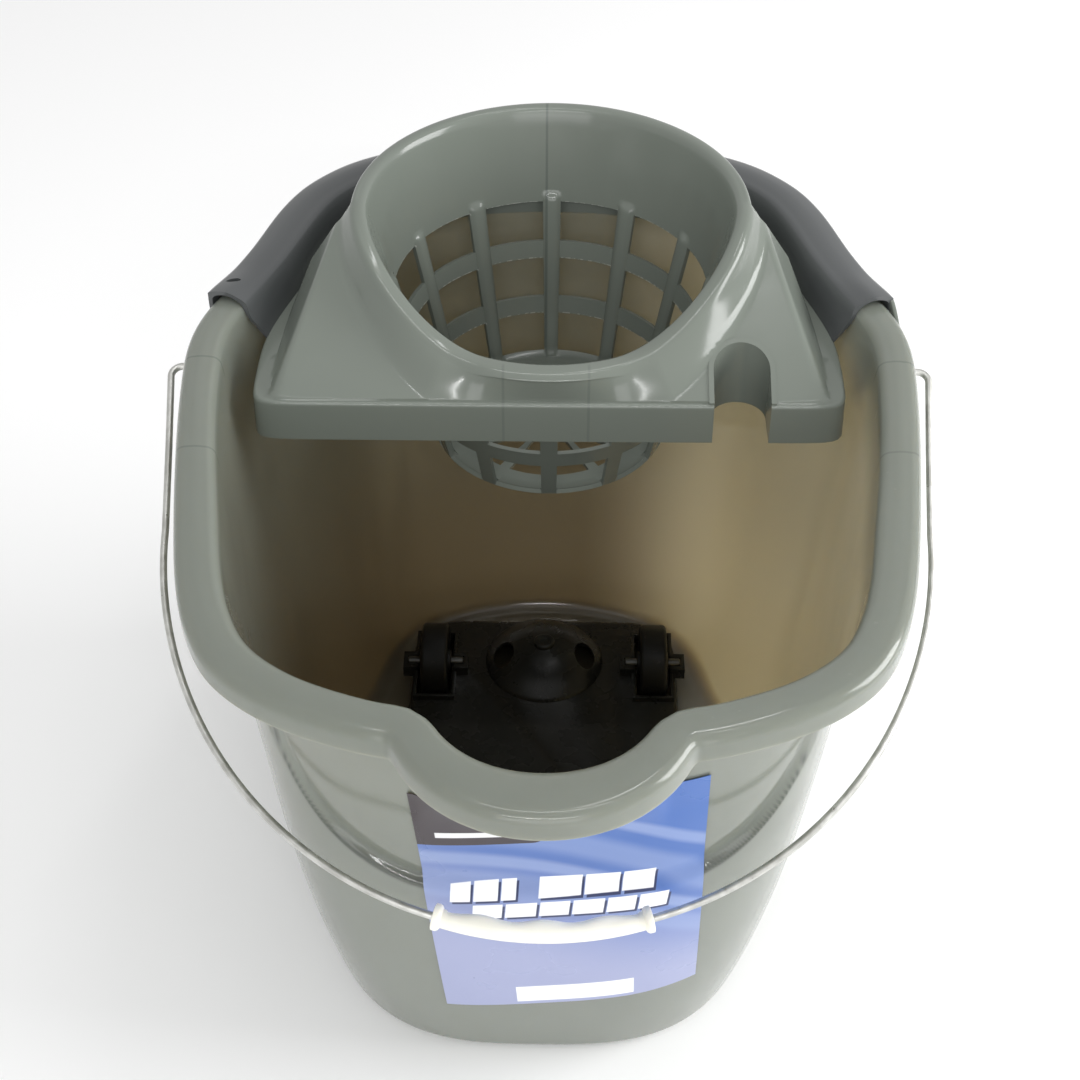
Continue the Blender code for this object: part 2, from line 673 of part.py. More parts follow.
def make_bail_wire():
    half = bail_path()
    whole = half + [(-x, reach) for x, reach in half[-2::-1]]
    curve = bpy.data.curves.new("bail_wire", "CURVE")
    curve.dimensions = "3D"
    curve.bevel_depth = WIRE_RADIUS
    curve.bevel_resolution = 2
    curve.use_fill_caps = True
    spline = curve.splines.new("POLY")
    spline.points.add(len(whole) - 1)
    for point, (x, reach) in zip(spline.points, whole):
        place = on_bail(x, reach)
        point.co = (place[0], place[1] - PIVOT_Y, place[2] - PIVOT_Z, 1)
    made = bpy.data.objects.new("bail_wire", curve)
    made.location = (0, PIVOT_Y, PIVOT_Z)
    bpy.context.scene.collection.objects.link(made)
    curve.materials.append(material("galvanised_wire"))
    return made


def make_bail_grip():
    """A C-shaped sleeve round the wire, open on its underside, with a wider collar at each end."""
    stations = np.concatenate([[-1, -0.955, -0.95], np.linspace(-0.9, 0.9, 11), [0.95, 0.955, 1]])
    slot = math.radians(24)
    steps = 10
    points = []
    for share in stations:
        turn = share * GRIP_HALF_LENGTH / BAIL_HALF_WIDTH
        centre_x = BAIL_HALF_WIDTH * math.sin(turn)
        centre_reach = BAIL_LEG + BAIL_BOW * math.cos(turn)
        radius = GRIP_COLLAR_RADIUS if abs(share) > 0.952 else GRIP_RADIUS
        section = []
        for step in range(steps + 1):
            angle = -math.pi / 2 + slot + (2 * math.pi - 2 * slot) * step / steps
            section.append((radius, angle))
        for step in range(steps, -1, -1):
            angle = -math.pi / 2 + slot + (2 * math.pi - 2 * slot) * step / steps
            section.append((GRIP_BORE, angle))
        for reach, angle in section:
            out, lift = reach * math.cos(angle), reach * math.sin(angle)
            points.append(on_bail(centre_x + out * math.sin(turn), centre_reach + out * math.cos(turn), lift))
    around = 2 * (steps + 1)
    rings = [np.array(points[i:i + around]) for i in range(0, len(points), around)]
    return loft("bail_grip", rings, "grip_plastic")


# ---------------------------------------------------------------- label

def front_wall_y(plan, x, z, outwards):
    """Y of the front wall's face at this x and height, flat between the wall's rings as the wall is."""
    depths = []
    for level in WALL_RINGS:
        line = plan.wall(level, outwards)
        front = line[line[:, 1] < 0]
        order = np.argsort(front[:, 0])
        depths.append(np.interp(x, front[order, 0], front[order, 1]))
    return np.interp(z, WALL_RINGS, depths)


def make_label(plan):
    across = np.linspace(0, 1, 13)
    upwards = np.linspace(0, 1, 9)
    corners = {name: np.array(place) for name, place in LABEL_CORNERS.items()}

    def place(u, v):
        bottom = corners["bottom_left"] * (1 - u) + corners["bottom_right"] * u
        top = corners["top_left"] * (1 - u) + corners["top_right"] * u
        return bottom * (1 - v) + top * v

    def sheet(outwards):
        rows = []
        for u in across:
            places = [place(u, v) for v in upwards]
            rows.append([(x, front_wall_y(plan, x, z, outwards), z) for x, z in places])
        return np.array(rows)

    front = sheet(WALL + LABEL_GAP + LABEL_THICKNESS)
    back = sheet(WALL + LABEL_GAP)
    keep = np.ones((len(across), len(upwards) - 1), bool)
    return thick_shell("front_label", front, back, keep, "label_film", closed=False)


# ---------------------------------------------------------------- wheel base

def wheel_places():
    return {
        "rear_left": (BASE_X - WHEEL_X, WHEEL_REAR_Y),
        "rear_right": (BASE_X + WHEEL_X, WHEEL_REAR_Y),
        "front_left": (BASE_X - WHEEL_X, WHEEL_FRONT_Y),
        "front_right": (BASE_X + WHEEL_X, WHEEL_FRONT_Y),
    }


def add_box(target, name, place, half, heights, operation):
    """Joins to the target, or cuts from it, a box of half sizes (x, y) that stands at a place."""
    low = (place[0] - half[0], place[1] - half[1], heights[0])
    high = (place[0] + half[0], place[1] + half[1], heights[1])
    boolean(target, box(name, low, high, "base_plastic"), operation)


def plate_outline():
    corners = [
        (side * (PLATE_HALF_WIDTH - PLATE_CORNER), end, turn)
        for side, end, turn in (
            (1, PLATE_BACK_Y - PLATE_CORNER, 0), (-1, PLATE_BACK_Y - PLATE_CORNER, 90),
            (-1, PLATE_FRONT_Y + PLATE_CORNER, 180), (1, PLATE_FRONT_Y + PLATE_CORNER, 270),
        )
    ]
    outline = []
    for x, y, turn in corners:
        for step in range(9):
            angle = math.radians(turn + 90 * step / 8)
            outline.append((BASE_X + x + PLATE_CORNER * math.cos(angle), y + PLATE_CORNER * math.sin(angle)))
    return np.array(outline)


def make_wheel_base():
    inside = plate_outline()
    foot = inset(inside, -1.5 * MM)
    rings = [
        ring_at(inset(inside, 4 * MM), PLATE_TOP - PLATE_THICKNESS),
        ring_at(inset(inside, 2.2 * MM), PLATE_TOP - PLATE_THICKNESS),
        ring_at(inset(foot, 2.2 * MM), PLATE_SKIRT_BOTTOM),
        ring_at(foot, PLATE_SKIRT_BOTTOM),
        ring_at(inside, PLATE_TOP - 2 * MM),
        ring_at(inset(inside, 2 * MM), PLATE_TOP),
    ]
    base = loft("wheel_base", rings, "base_plastic")
    well_x = WHEEL_HALF_WIDTH + WELL_CLEARANCE
    well_y = WHEEL_RADIUS + WELL_CLEARANCE
    rim_top = PLATE_TOP + WELL_RIM_HEIGHT
    low = PLATE_TOP - PLATE_THICKNESS / 2
    for name, place in wheel_places().items():
        well_rim = (well_x + WELL_RIM, well_y + WELL_RIM)
        add_box(base, "well_rim_" + name, place, well_rim, (low, rim_top), "UNION")
        cradle = (CRADLE_HALF_LENGTH, CRADLE_HALF_WIDTH)
        add_box(base, "cradle_" + name, place, cradle, (low, WHEEL_Z + 1 * MM), "UNION")
    above = WHEEL_Z + CRADLE_HEADROOM
    for name, place in wheel_places().items():
        add_box(base, "well_" + name, place, (well_x, well_y), (0, above), "DIFFERENCE")
        slot = (AXLE_HALF_LENGTH + AXLE_PLAY, AXLE_RADIUS + AXLE_PLAY)
        add_box(base, "slot_" + name, place, slot, (WHEEL_Z - AXLE_RADIUS - AXLE_PLAY, above), "DIFFERENCE")
    add_dome(base)
    return base


def add_dome(base):
    """A shallow dome with a small boss on top and a finger hole on each slope."""
    centre = (BASE_X, DOME_Y, PLATE_TOP)
    opening = turned("dome_opening", rod(DOME_RADIUS - 2 * WALL, DOME_CUT), centre, "Z", "base_plastic")
    boolean(base, opening, "DIFFERENCE")
    sphere = (DOME_RADIUS ** 2 + DOME_HEIGHT ** 2) / (2 * DOME_HEIGHT)
    profile = []
    for grow, radii in ((0.0, (1, 0.8, 0.6, 0.4, 0.2)), (-WALL, (0.2, 0.4, 0.6, 0.8, 0.96))):
        for share in radii:
            radius = share * DOME_RADIUS
            height = math.sqrt(sphere ** 2 - radius ** 2) - (sphere - DOME_HEIGHT)
            profile.append((radius, height + grow))
        if grow == 0.0:
            boss_top = DOME_HEIGHT + DOME_BOSS_HEIGHT
            profile += [(DOME_BOSS_RADIUS, DOME_HEIGHT - 0.5 * MM), (DOME_BOSS_RADIUS, boss_top)]
            profile += [(0, boss_top), (0, DOME_HEIGHT - WALL)]
    profile.append((DOME_RADIUS, -WALL))
    dome = turned("dome", profile, (BASE_X, DOME_Y, PLATE_TOP + 0.2 * MM), "Z", "base_plastic")
    boolean(base, dome, "UNION")
    for name, side in (("dome_hole_left", -1), ("dome_hole_right", 1)):
        hole = turned(name, rod(DOME_HOLE_RADIUS, DOME_CUT), (0, 0, 0), "Z", "base_plastic", steps=20)
        hole.data.transform(Matrix.Diagonal((1, DOME_HOLE_STRETCH, 1, 1)))
        hole.location = (BASE_X + side * DOME_HOLE_X, DOME_HOLE_Y, PLATE_TOP + DOME_CUT / 2)
        boolean(base, hole, "DIFFERENCE")


def make_wheels():
    face = -WHEEL_HALF_WIDTH
    hub = face - HUB_PROUD
    web = face + WEB_DEPTH
    profile = [(AXLE_RADIUS + AXLE_PLAY, hub), (HUB_RADIUS, hub), (HUB_RADIUS, web), (WEB_RADIUS, web)]
    profile += [(WEB_RADIUS + 1 * MM, face), (WHEEL_RADIUS - TYRE_ROUND, face)]
    profile.append((WHEEL_RADIUS, face + TYRE_ROUND))
    profile += [(radius, -along) for radius, along in reversed(profile)]
    for name, (x, y) in wheel_places().items():
        wheel = turned("wheel_" + name, profile, (0, 0, 0), "X", "wheel_plastic")
        wheel.location = (x, y, WHEEL_Z)
        bar = rod(AXLE_RADIUS, AXLE_HALF_LENGTH)
        axle = turned("axle_" + name, bar, (0, 0, 0), "X", "axle_steel", steps=12)
        axle.location = (x, y, WHEEL_Z)


def main():
    clear_scene()
    plan = BucketPlan()
    make_bucket(plan)
    make_wringer(plan)
    make_bail_wire()
    make_bail_grip()
    make_label(plan)
    make_wheel_base()
    make_wheels()


main()
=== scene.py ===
"""Looks of the mop bucket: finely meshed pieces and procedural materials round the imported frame.

Axes: +X to the right, +Y to the back, +Z up. The spout points along -Y. The named sizes are the model's own,
so each piece lies where the frame has it.
"""

import math

import bmesh
import bpy
import numpy as np
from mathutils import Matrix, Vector


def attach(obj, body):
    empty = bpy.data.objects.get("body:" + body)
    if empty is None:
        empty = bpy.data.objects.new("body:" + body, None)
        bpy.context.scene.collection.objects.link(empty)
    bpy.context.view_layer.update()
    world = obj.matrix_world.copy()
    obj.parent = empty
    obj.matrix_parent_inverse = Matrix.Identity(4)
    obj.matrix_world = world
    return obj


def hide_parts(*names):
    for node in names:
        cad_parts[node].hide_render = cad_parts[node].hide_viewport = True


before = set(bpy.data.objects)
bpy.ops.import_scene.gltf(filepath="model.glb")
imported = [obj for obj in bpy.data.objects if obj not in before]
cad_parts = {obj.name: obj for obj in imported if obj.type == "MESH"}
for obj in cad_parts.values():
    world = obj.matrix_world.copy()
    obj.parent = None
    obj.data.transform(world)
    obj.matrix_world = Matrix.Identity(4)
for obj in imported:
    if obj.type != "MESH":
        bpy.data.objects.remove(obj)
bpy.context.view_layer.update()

MM = 0.001

# Bucket.
RIM_TOP = 275 * MM
RIM_LIP_BOTTOM = 263 * MM
RIM_WIDTH = 16 * MM
FRONT_RIM_WIDTH = 17.5 * MM
RIM_WIDENING_LENGTH = 80 * MM
SPOUT_RIM_WIDTH = 21 * MM
RIM_OUTER_ROUND = 5 * MM
RIM_INNER_ROUND = 4 * MM
RIM_INNER_STEPS = 8
WALL = 2.3 * MM
FLOOR_UNDERSIDE = 3.2 * MM
FLOOR_TOP = 5.5 * MM
FLOOR_FILLET = 8 * MM
FOOT_WIDTH = 6 * MM
FOOT_INSET = 3 * MM
FOOT_ROUND = 6 * MM
# Half of the rim's outer edge from above, back to front, without the spout. The other half mirrors it.
RIM_HALF_PLAN = [
    (0, 220), (46, 215), (90, 199), (114, 178), (127, 154), (138, 117), (148, 90), (156.5, 68), (160, 44),
    (158, 9), (153.5, -32), (147.5, -75), (142, -106), (135, -130), (123.5, -151), (103, -168.5),
    (77, -180.5), (50, -187), (0, -188),
]
RIM_POINTS = 3000
RIM_SOFTENING = 5 * MM
BASE_X = -2.5 * MM
BASE_HALF_WIDTH = 109 * MM
BASE_BACK_Y = 156 * MM
BASE_FRONT_Y = -133 * MM
BASE_SHARPNESS = 3.0
BELLY = 5 * MM
BELLY_PEAK = 4 / 27  # the greatest value of rise * (1 - rise) ** 2
SPOUT_DEPTH = 34.5 * MM
SPOUT_HALF_WIDTH = 54 * MM
SPOUT_ROOT_ROUND = 4 * MM
SPOUT_FADE_BOTTOM = 190 * MM
SPOUT_FADE_POWER = 1.6
BUCKET_COLUMNS = 500
FINE_FRONT_Y = -100 * MM
FINE_HALF_WIDTH = 118 * MM
FINE_ROWS_BOTTOM = 138 * MM
WALL_ROWS_TOP = 268 * MM
PANEL_HALF_WIDTH = 106 * MM
PANEL_TOP = 262 * MM
PANEL_HEIGHT = 115 * MM
PANEL_DEPTH_TOP = 1.2 * MM
PANEL_DEPTH_BOTTOM = 4.6 * MM
PANEL_EDGE = 4.2 * MM

# Wringer.
CONE_Y = 111.5 * MM
BASKET_BOTTOM = 178 * MM
BASKET_RADIUS = 55 * MM
CONE_SLOPE = 0.226
BASE_RING = 3.9 * MM
WINDOW_HEIGHT = 20.2 * MM
WINDOW_PITCH = 29.1 * MM
WINDOW_ROWS = 3
RIBS = 12
RIB_DEGREES = 7.0
RIB_COLUMNS = 6
WINDOW_COLUMNS = 22
RIB_PROUD = 1.8 * MM
FLOOR_HOLE_INNER = 16 * MM
FLOOR_HOLE_OUTER = 43 * MM
OPENING_BACK_Z = 304 * MM
OPENING_FRONT_Z = 271.3 * MM
CREST_RISE = 2.5 * MM
FRONT_CREST_RISE = 1.0 * MM
BEAD_FADE = 11 * MM
ROLL_REACH = 20 * MM
ROLL_SHARE = 0.6
RIM_LIP_WIDTH = 10 * MM
HOOD_BASE_Z = 258 * MM
HOOD_FRONT_Y = 23.5 * MM
HOOD_HALF_WIDTH = 132 * MM
HOOD_SIDE_X = 123 * MM
HOOD_FRONT_SLOPE = 0.447
HOOD_SIDE_SLOPE = 1.52
HOOD_BACK_SLOPE = 6.0
HOOD_TOP_Z = 296 * MM
HOOD_CREASE = 2.0 * MM
LEDGE_WIDTH = 8.6 * MM
LEDGE_SHARPNESS = 26
FRONT_LIP_WIDTH = 2.6 * MM
LIP_ROUND = 1.8 * MM
SKIRT_BOTTOM = 238 * MM
SKIRT_BACK_BOTTOM = 247 * MM
COLLAR_FRONT_Y = 78 * MM
COLLAR_SKIN = 2.0 * MM
COLLAR_FOOT_Z = HOOD_BASE_Z - 1.2 * MM
COLLAR_LIP_BOTTOM = 268 * MM
COLLAR_LIFT = 2.2 * MM
COLLAR_LIFT_LENGTH = 26 * MM
COLLAR_SLOT_RADIUS = 1.7 * MM
HOOK_END_Y = 66 * MM
HOOK_HEIGHT = 5.5 * MM
WRINGER_WALL = 2.0 * MM
NOTCH_X = 85 * MM
NOTCH_RADIUS = 12.5 * MM
NOTCH_BACK_Y = 52.5 * MM
GAP = 0.4 * MM
HAIR_LINE = 0.4 * MM

# Bail.
PIVOT_Y = 53.5 * MM
PIVOT_Z = 255 * MM
WIRE_RADIUS = 1.6 * MM
WIRE_SIDES = 16
BAIL_PIVOT_X = 170 * MM
BAIL_HALF_WIDTH = 165 * MM
BAIL_LEG = 82 * MM
BAIL_BOW = 174 * MM
BAIL_REST_DEGREES = 22
BAIL_END_X = 149 * MM
EAR_HALF_LENGTH = 10 * MM
EAR_BOTTOM = 245 * MM
EAR_HOLE_RADIUS = 2.3 * MM
GRIP_HALF_LENGTH = 43.5 * MM
GRIP_RADIUS = 4.3 * MM
GRIP_BORE = 1.9 * MM
GRIP_COLLAR_RADIUS = 5.4 * MM

# Label. The corners are (x, height): bottom left, bottom right, top left, top right.
LABEL_CORNERS = [(-43, 50), (67, 66), (-52, 216), (63, 227)]
LABEL_THICKNESS = 0.25 * MM
LABEL_GAP = 0.15 * MM
LABEL_BRIDGE_ROWS = 3
PRINT_EDGE = 0.003

# Wheel base.
PLATE_HALF_WIDTH = 72 * MM
PLATE_BACK_Y = 129 * MM
PLATE_FRONT_Y = -105 * MM
PLATE_CORNER = 26 * MM
PLATE_TOP = 22 * MM
PLATE_THICKNESS = 2.5 * MM
PLATE_SKIRT_BOTTOM = 5.9 * MM
WHEEL_RADIUS = 20.7 * MM
WHEEL_HALF_WIDTH = 7.2 * MM
WHEEL_X = 59 * MM
WHEEL_REAR_Y = 92 * MM
WHEEL_FRONT_Y = -68 * MM
WHEEL_Z = FLOOR_TOP + WHEEL_RADIUS + GAP
AXLE_RADIUS = 2.5 * MM
AXLE_HALF_LENGTH = 15 * MM
AXLE_PLAY = 0.3 * MM
WELL_CLEARANCE = 2.2 * MM
WELL_RIM = 1.8 * MM
WELL_RIM_HEIGHT = 3 * MM
CRADLE_HALF_LENGTH = 17.5 * MM
CRADLE_HALF_WIDTH = 6 * MM
DOME_Y = 98 * MM
DOME_RADIUS = 32 * MM
DOME_HEIGHT = 13 * MM
DOME_BOSS_RADIUS = 5.5 * MM
DOME_BOSS_HEIGHT = 2 * MM
DOME_HOLE_X = 22 * MM
DOME_HOLE_RADIUS = 5.5 * MM

# Camera and surroundings. The lens and sensor are in Blender's millimetres, the place in metres.
CAMERA_LENS = 63.33
CAMERA_SENSOR = 36
CAMERA_PLACE = (0.0049, -0.6315, 0.7724)
CAMERA_DOWN_DEGREES = 42.2
CAMERA_TURN_DEGREES = 0.76
WORLD_STRENGTH = 0.66
FLOOR_REACH = 6


def smoothstep(value):
    value = np.clip(value, 0, 1)
    return value * value * (3 - 2 * value)


def smooth_min(a, b, width):
    close = np.maximum(width - np.abs(a - b), 0)
    return np.minimum(a, b) - close ** 2 / (4 * width)


# ---- meshes

def mesh_object(name, points, faces, sharp_degrees=38, attributes=None, merge=False):
    """A smooth-shaded mesh. merge joins the points of a turned piece that meet on its axis."""
    mesh = bpy.data.meshes.new(name)
    mesh.from_pydata(np.asarray(points, float).tolist(), [], [list(map(int, face)) for face in faces])
    for label, values in (attributes or {}).items():
        layer = mesh.attributes.new(label, "FLOAT", "POINT")
        layer.data.foreach_set("value", np.asarray(values, np.float32))
    bm = bmesh.new()
    bm.from_mesh(mesh)
    if merge:
        bmesh.ops.remove_doubles(bm, verts=bm.verts, dist=1e-6)
        bmesh.ops.dissolve_degenerate(bm, edges=bm.edges, dist=1e-6)
        bmesh.ops.delete(bm, geom=[edge for edge in bm.edges if not edge.link_faces], context="EDGES")
    bmesh.ops.delete(bm, geom=[vert for vert in bm.verts if not vert.link_faces], context="VERTS")
    bmesh.ops.recalc_face_normals(bm, faces=bm.faces)
    bm.to_mesh(mesh)
    bm.free()
    made = bpy.data.objects.new(name, mesh)
    bpy.context.scene.collection.objects.link(made)
    shade(made, sharp_degrees)
    return made


def shade(piece, sharp_degrees=38):
    piece.data.shade_smooth()
    piece.data.set_sharp_from_angle(angle=math.radians(sharp_degrees))


def loft(name, rings, sharp_degrees=38, attributes=None):
    """A closed solid skinned over rings of equal count, with a flat cap on the first and last."""
    count = len(rings[0])
    grid = np.arange(count * len(rings)).reshape(len(rings), count)
    ahead = np.roll(grid, -1, axis=1)
    quads = np.stack([grid[:-1], ahead[:-1], ahead[1:], grid[1:]], axis=-1).reshape(-1, 4)
    faces = [grid[0].tolist(), grid[-1].tolist()] + quads.tolist()
    return mesh_object(name, np.vstack(rings), faces, sharp_degrees, attributes)


def thick_shell(name, front, back, keep=None, closed=True, attributes=None):
    """A solid between two grids of points [column][row]. keep[column][row] says which cells exist."""
    columns, rows = front.shape[:2]
    spans = columns if closed else columns - 1
    keep = np.ones((spans, rows - 1), bool) if keep is None else keep
    index = np.arange(columns * rows).reshape(columns, rows)
    ahead = np.roll(index, -1, axis=0)
    behind = columns * rows
    a, b, c, d = index[:spans, :-1], ahead[:spans, :-1], ahead[:spans, 1:], index[:spans, 1:]
    before, after = np.roll(keep, 1, axis=0), np.roll(keep, -1, axis=0)
    if not closed:
        before[0] = after[-1] = False
    empty = np.zeros((spans, 1), bool)
    inside = np.hstack([empty, keep[:, :-1]])
    outside = np.hstack([keep[:, 1:], empty])
    faces = [np.stack([a, b, c, d], axis=-1)[keep], np.stack([d, c, b, a], axis=-1)[keep] + behind]
    for start, end, neighbour in ((a, d, before), (c, b, after), (d, c, outside), (b, a, inside)):
        edge = np.stack([start, end, end + behind, start + behind], axis=-1)
        faces.append(edge[keep & ~neighbour])
    points = np.vstack([front.reshape(-1, 3), back.reshape(-1, 3)])
    return mesh_object(name, points, np.vstack(faces), attributes=attributes)


def turned(name, profile, centre, axis, steps=48):
    """A closed profile of (radius, along) points turned round an axis, X or Z, through the centre."""
    angles = np.arange(steps) / steps * 2 * math.pi
    radius, along = np.array(profile).T
    a, b = np.outer(np.cos(angles), radius), np.outer(np.sin(angles), radius)
    level = np.broadcast_to(along, a.shape)
    grid = np.stack((level, a, b) if axis == "X" else (a, b, level), axis=-1) + np.array(centre)
    index = np.arange(grid.shape[0] * grid.shape[1]).reshape(grid.shape[:2])
    ahead = np.roll(index, -1, axis=0)
    faces = np.stack([index, ahead, np.roll(ahead, -1, axis=1), np.roll(index, -1, axis=1)], axis=-1)
    return mesh_object(name, grid.reshape(-1, 3), faces.reshape(-1, 4), merge=True)


def bore(name, radius, height, place, stretch=(1, 1, 1)):
    """A round post that stands on a place, to cut a hole with."""
    post = turned(name, [(0, 0), (radius, 0), (radius, height), (0, height)], (0, 0, 0), "Z")
    post.scale = stretch
    post.location = place
    return post


def box(name, low, high):
    corners = [[(low, high)[bit >> axis & 1][axis] for axis in range(3)] for bit in range(8)]
    faces = [[0, 1, 3, 2], [4, 6, 7, 5], [0, 4, 5, 1], [2, 3, 7, 6], [0, 2, 6, 4], [1, 5, 7, 3]]
    return mesh_object(name, corners, faces)


def boolean(target, tool, operation):
    """Applies the Boolean at once and removes its tool."""
    cut = target.modifiers.new(tool.name, "BOOLEAN")
    cut.operation = operation
    cut.solver = "MANIFOLD"
    cut.object = tool
    apply_modifiers(target)
    bpy.data.objects.remove(tool, do_unlink=True)


def apply_modifiers(piece):
    bpy.context.view_layer.update()
    graph = bpy.context.evaluated_depsgraph_get()
    made = bpy.data.meshes.new_from_object(piece.evaluated_get(graph), depsgraph=graph)
    piece.modifiers.clear()
    piece.data = made


def soften_edges(piece, width):
    """Rounds the sharp edges of a moulded piece."""
    rounding = piece.modifiers.new("rounding", "BEVEL")
    rounding.width = width
    rounding.segments = 2
    rounding.limit_method = "ANGLE"
    rounding.angle_limit = math.radians(50)
    rounding.harden_normals = False
    apply_modifiers(piece)
    shade(piece, 50)


# ---- outlines

def catmull_rom(p, q, r, s, steps):
    """Points on the curve from q to r, which p and s lead into and out of."""
    made = []
    for t in np.arange(steps) / steps:
        made.append(0.5 * (
            2 * q + (r - p) * t + (2 * p - 5 * q + 4 * r - s) * t ** 2 + (3 * q - p - 3 * r + s) * t ** 3
        ))
    return made


def smooth_closed(corners):
    """A closed curve through the corners."""
    before, after, beyond = (np.roll(corners, shift, axis=0) for shift in (1, -1, -2))
    curve = catmull_rom(before, corners, after, beyond, 60)
    return np.array(curve).transpose(1, 0, 2).reshape(-1, 2)


def refine(rows):
    """Smooth rows between rows of points [row][column], the end rows kept."""
    padded = np.concatenate([[2 * rows[0] - rows[1]], rows, [2 * rows[-1] - rows[-2]]])
    made = []
    for k in range(len(rows) - 1):
        made += catmull_rom(*padded[k:k + 4], 4)
    return np.array(made + [rows[-1]])


def closed_lengths(outline):
    """The outline with its first point again at the end, and the lengths between its points."""
    ring = np.vstack([outline, outline[:1]])
    return ring, np.linalg.norm(np.diff(ring, axis=0), axis=1)


def look_up(value, places, results, period=None):
    """Interpolates results, given at unsorted places."""
    order = np.argsort(places)
    return np.interp(value, places[order], results[order], period=period)


def at_shares(outline, shares):
    """Points of the closed outline at these shares of its point count."""
    ring = closed_lengths(outline)[0]
    return np.stack([np.interp(shares, np.arange(len(ring)), ring[:, axis]) for axis in (0, 1)], axis=1)


def even_shares(outline, count, weight):
    """Where count points lie on the closed outline, closer together where the weight is larger."""
    ring, lengths = closed_lengths(outline)
    middle = (ring[1:] + ring[:-1]) / 2
    travelled = np.concatenate([[0], np.cumsum(lengths * weight(middle))])
    return np.interp(np.arange(count) / count * travelled[-1], travelled, np.arange(len(ring)))


def soften(outline, reach):
    """The closed outline, of evenly spaced points, averaged over a Gaussian of this reach."""
    step = closed_lengths(outline)[1].mean()
    offsets = np.arange(-int(3 * reach / step), int(3 * reach / step) + 1)
    weights = np.exp(-0.5 * (offsets * step / reach) ** 2)
    rolled = sum(w * np.roll(outline, shift, axis=0) for w, shift in zip(weights, offsets))
    return rolled / weights.sum()


def inset(outline, distance):
    """The outline moved inwards by distance, which may differ from point to point."""
    along = np.roll(outline, -1, axis=0) - np.roll(outline, 1, axis=0)
    along /= np.linalg.norm(along, axis=1)[:, None]
    inward = np.stack([along[:, 1], -along[:, 0]], axis=1)
    if (inward * (outline.mean(axis=0) - outline)).sum() < 0:
        inward = -inward
    return outline + inward * np.reshape(np.broadcast_to(distance, len(outline)), (-1, 1))


def spout_bulge(x):
    """How far the spout's round nose stands out of the straight front, its roots rounded off."""
    radius = (SPOUT_HALF_WIDTH ** 2 + SPOUT_DEPTH ** 2) / (2 * SPOUT_DEPTH)
    nose = np.sqrt(np.maximum(radius ** 2 - x ** 2, 0)) - (radius - SPOUT_DEPTH)
    return -smooth_min(-nose, np.zeros_like(nose), SPOUT_ROOT_ROUND)


def arc(start, end, steps, centre=(0, 0), radius=1):
    """Points between two angles in degrees, round a circle or, with a radius for each axis, an ellipse."""
    turns = np.radians(np.linspace(start, end, steps))
    return np.column_stack([np.cos(turns), np.sin(turns)]) * radius + centre


def ring_at(outline, z):
    return np.column_stack([outline, np.broadcast_to(z, len(outline))])


def base_outline(rim):
    """The rim's plan drawn in to the base's size, its front rounded to a superellipse."""
    low, high = rim.min(axis=0), rim.max(axis=0)
    share_x = rim[:, 0] / high[0]
    y = BASE_FRONT_Y + (rim[:, 1] - low[1]) / (high[1] - low[1]) * (BASE_BACK_Y - BASE_FRONT_Y)
    widest_y = y[np.argmax(share_x)]
    depth = widest_y - BASE_FRONT_Y
    share_y = np.maximum((widest_y - y) / depth, 0)
    reach = (np.abs(share_x) ** BASE_SHARPNESS + share_y ** BASE_SHARPNESS) ** (-1 / BASE_SHARPNESS)
    front = share_y > 0
    x = BASE_X + BASE_HALF_WIDTH * np.where(front, share_x * reach, share_x)
    return np.column_stack([x, np.where(front, widest_y - share_y * reach * depth, y)])


class BucketPlan:
    """The bucket's outlines: rim edges at the top, wall at any height."""

    def __init__(self):
        half = np.array(RIM_HALF_PLAN) * MM
        corners = np.vstack([half, half[1:-1][::-1] * [-1, 1]])
        curve = smooth_closed(corners)
        curve = at_shares(curve, even_shares(curve, RIM_POINTS, lambda middle: 1))
        curve = soften(curve, RIM_SOFTENING)
        bulge = np.where(curve[:, 1] < 0, spout_bulge(curve[:, 0]), 0)
        rim = curve - np.stack([np.zeros_like(bulge), bulge], axis=1)

        def weight(middle):
            return np.where((middle[:, 1] < FINE_FRONT_Y) & (abs(middle[:, 0]) < FINE_HALF_WIDTH), 2.0, 1.0)

        shares = even_shares(rim, BUCKET_COLUMNS, weight)
        self.plain = at_shares(curve, shares)
        self.rim = at_shares(rim, shares)
        bulge = self.plain[:, 1] - self.rim[:, 1]
        frontness = smoothstep(-self.plain[:, 1] / RIM_WIDENING_LENGTH)
        plain_width = RIM_WIDTH + (FRONT_RIM_WIDTH - RIM_WIDTH) * frontness
        self.width = plain_width + (SPOUT_RIM_WIDTH - plain_width) * bulge / SPOUT_DEPTH
        self.top_plain = inset(self.plain, plain_width)
        self.top = inset(self.rim, self.width)
        self.base = base_outline(self.plain)

    def wall(self, z, outwards=0.0, panel=True):
        """The wall's inner face at height z, or the line this far outside it."""
        rise = z / RIM_TOP
        fade = np.clip((z - SPOUT_FADE_BOTTOM) / (RIM_TOP - SPOUT_FADE_BOTTOM), 0, 1) ** SPOUT_FADE_POWER
        body = inset(self.base, WALL) * (1 - rise) + self.top_plain * rise
        belly = BELLY * rise * (1 - rise) ** 2 / BELLY_PEAK
        line = inset(body + fade * (self.top - self.top_plain), -outwards - belly)
        return inset(line, front_panel(line, z)) if panel else line


def panel_edge(line, z):
    """A value that is 1 on the front panel's outline and less inside it, and how steeply it grows."""
    below = max((PANEL_TOP - z) / PANEL_HEIGHT, 0)
    across = np.abs(line[:, 0] / PANEL_HALF_WIDTH)
    return across ** 3 + below ** 3, 3 * np.maximum(below, across) ** 2 / PANEL_HEIGHT


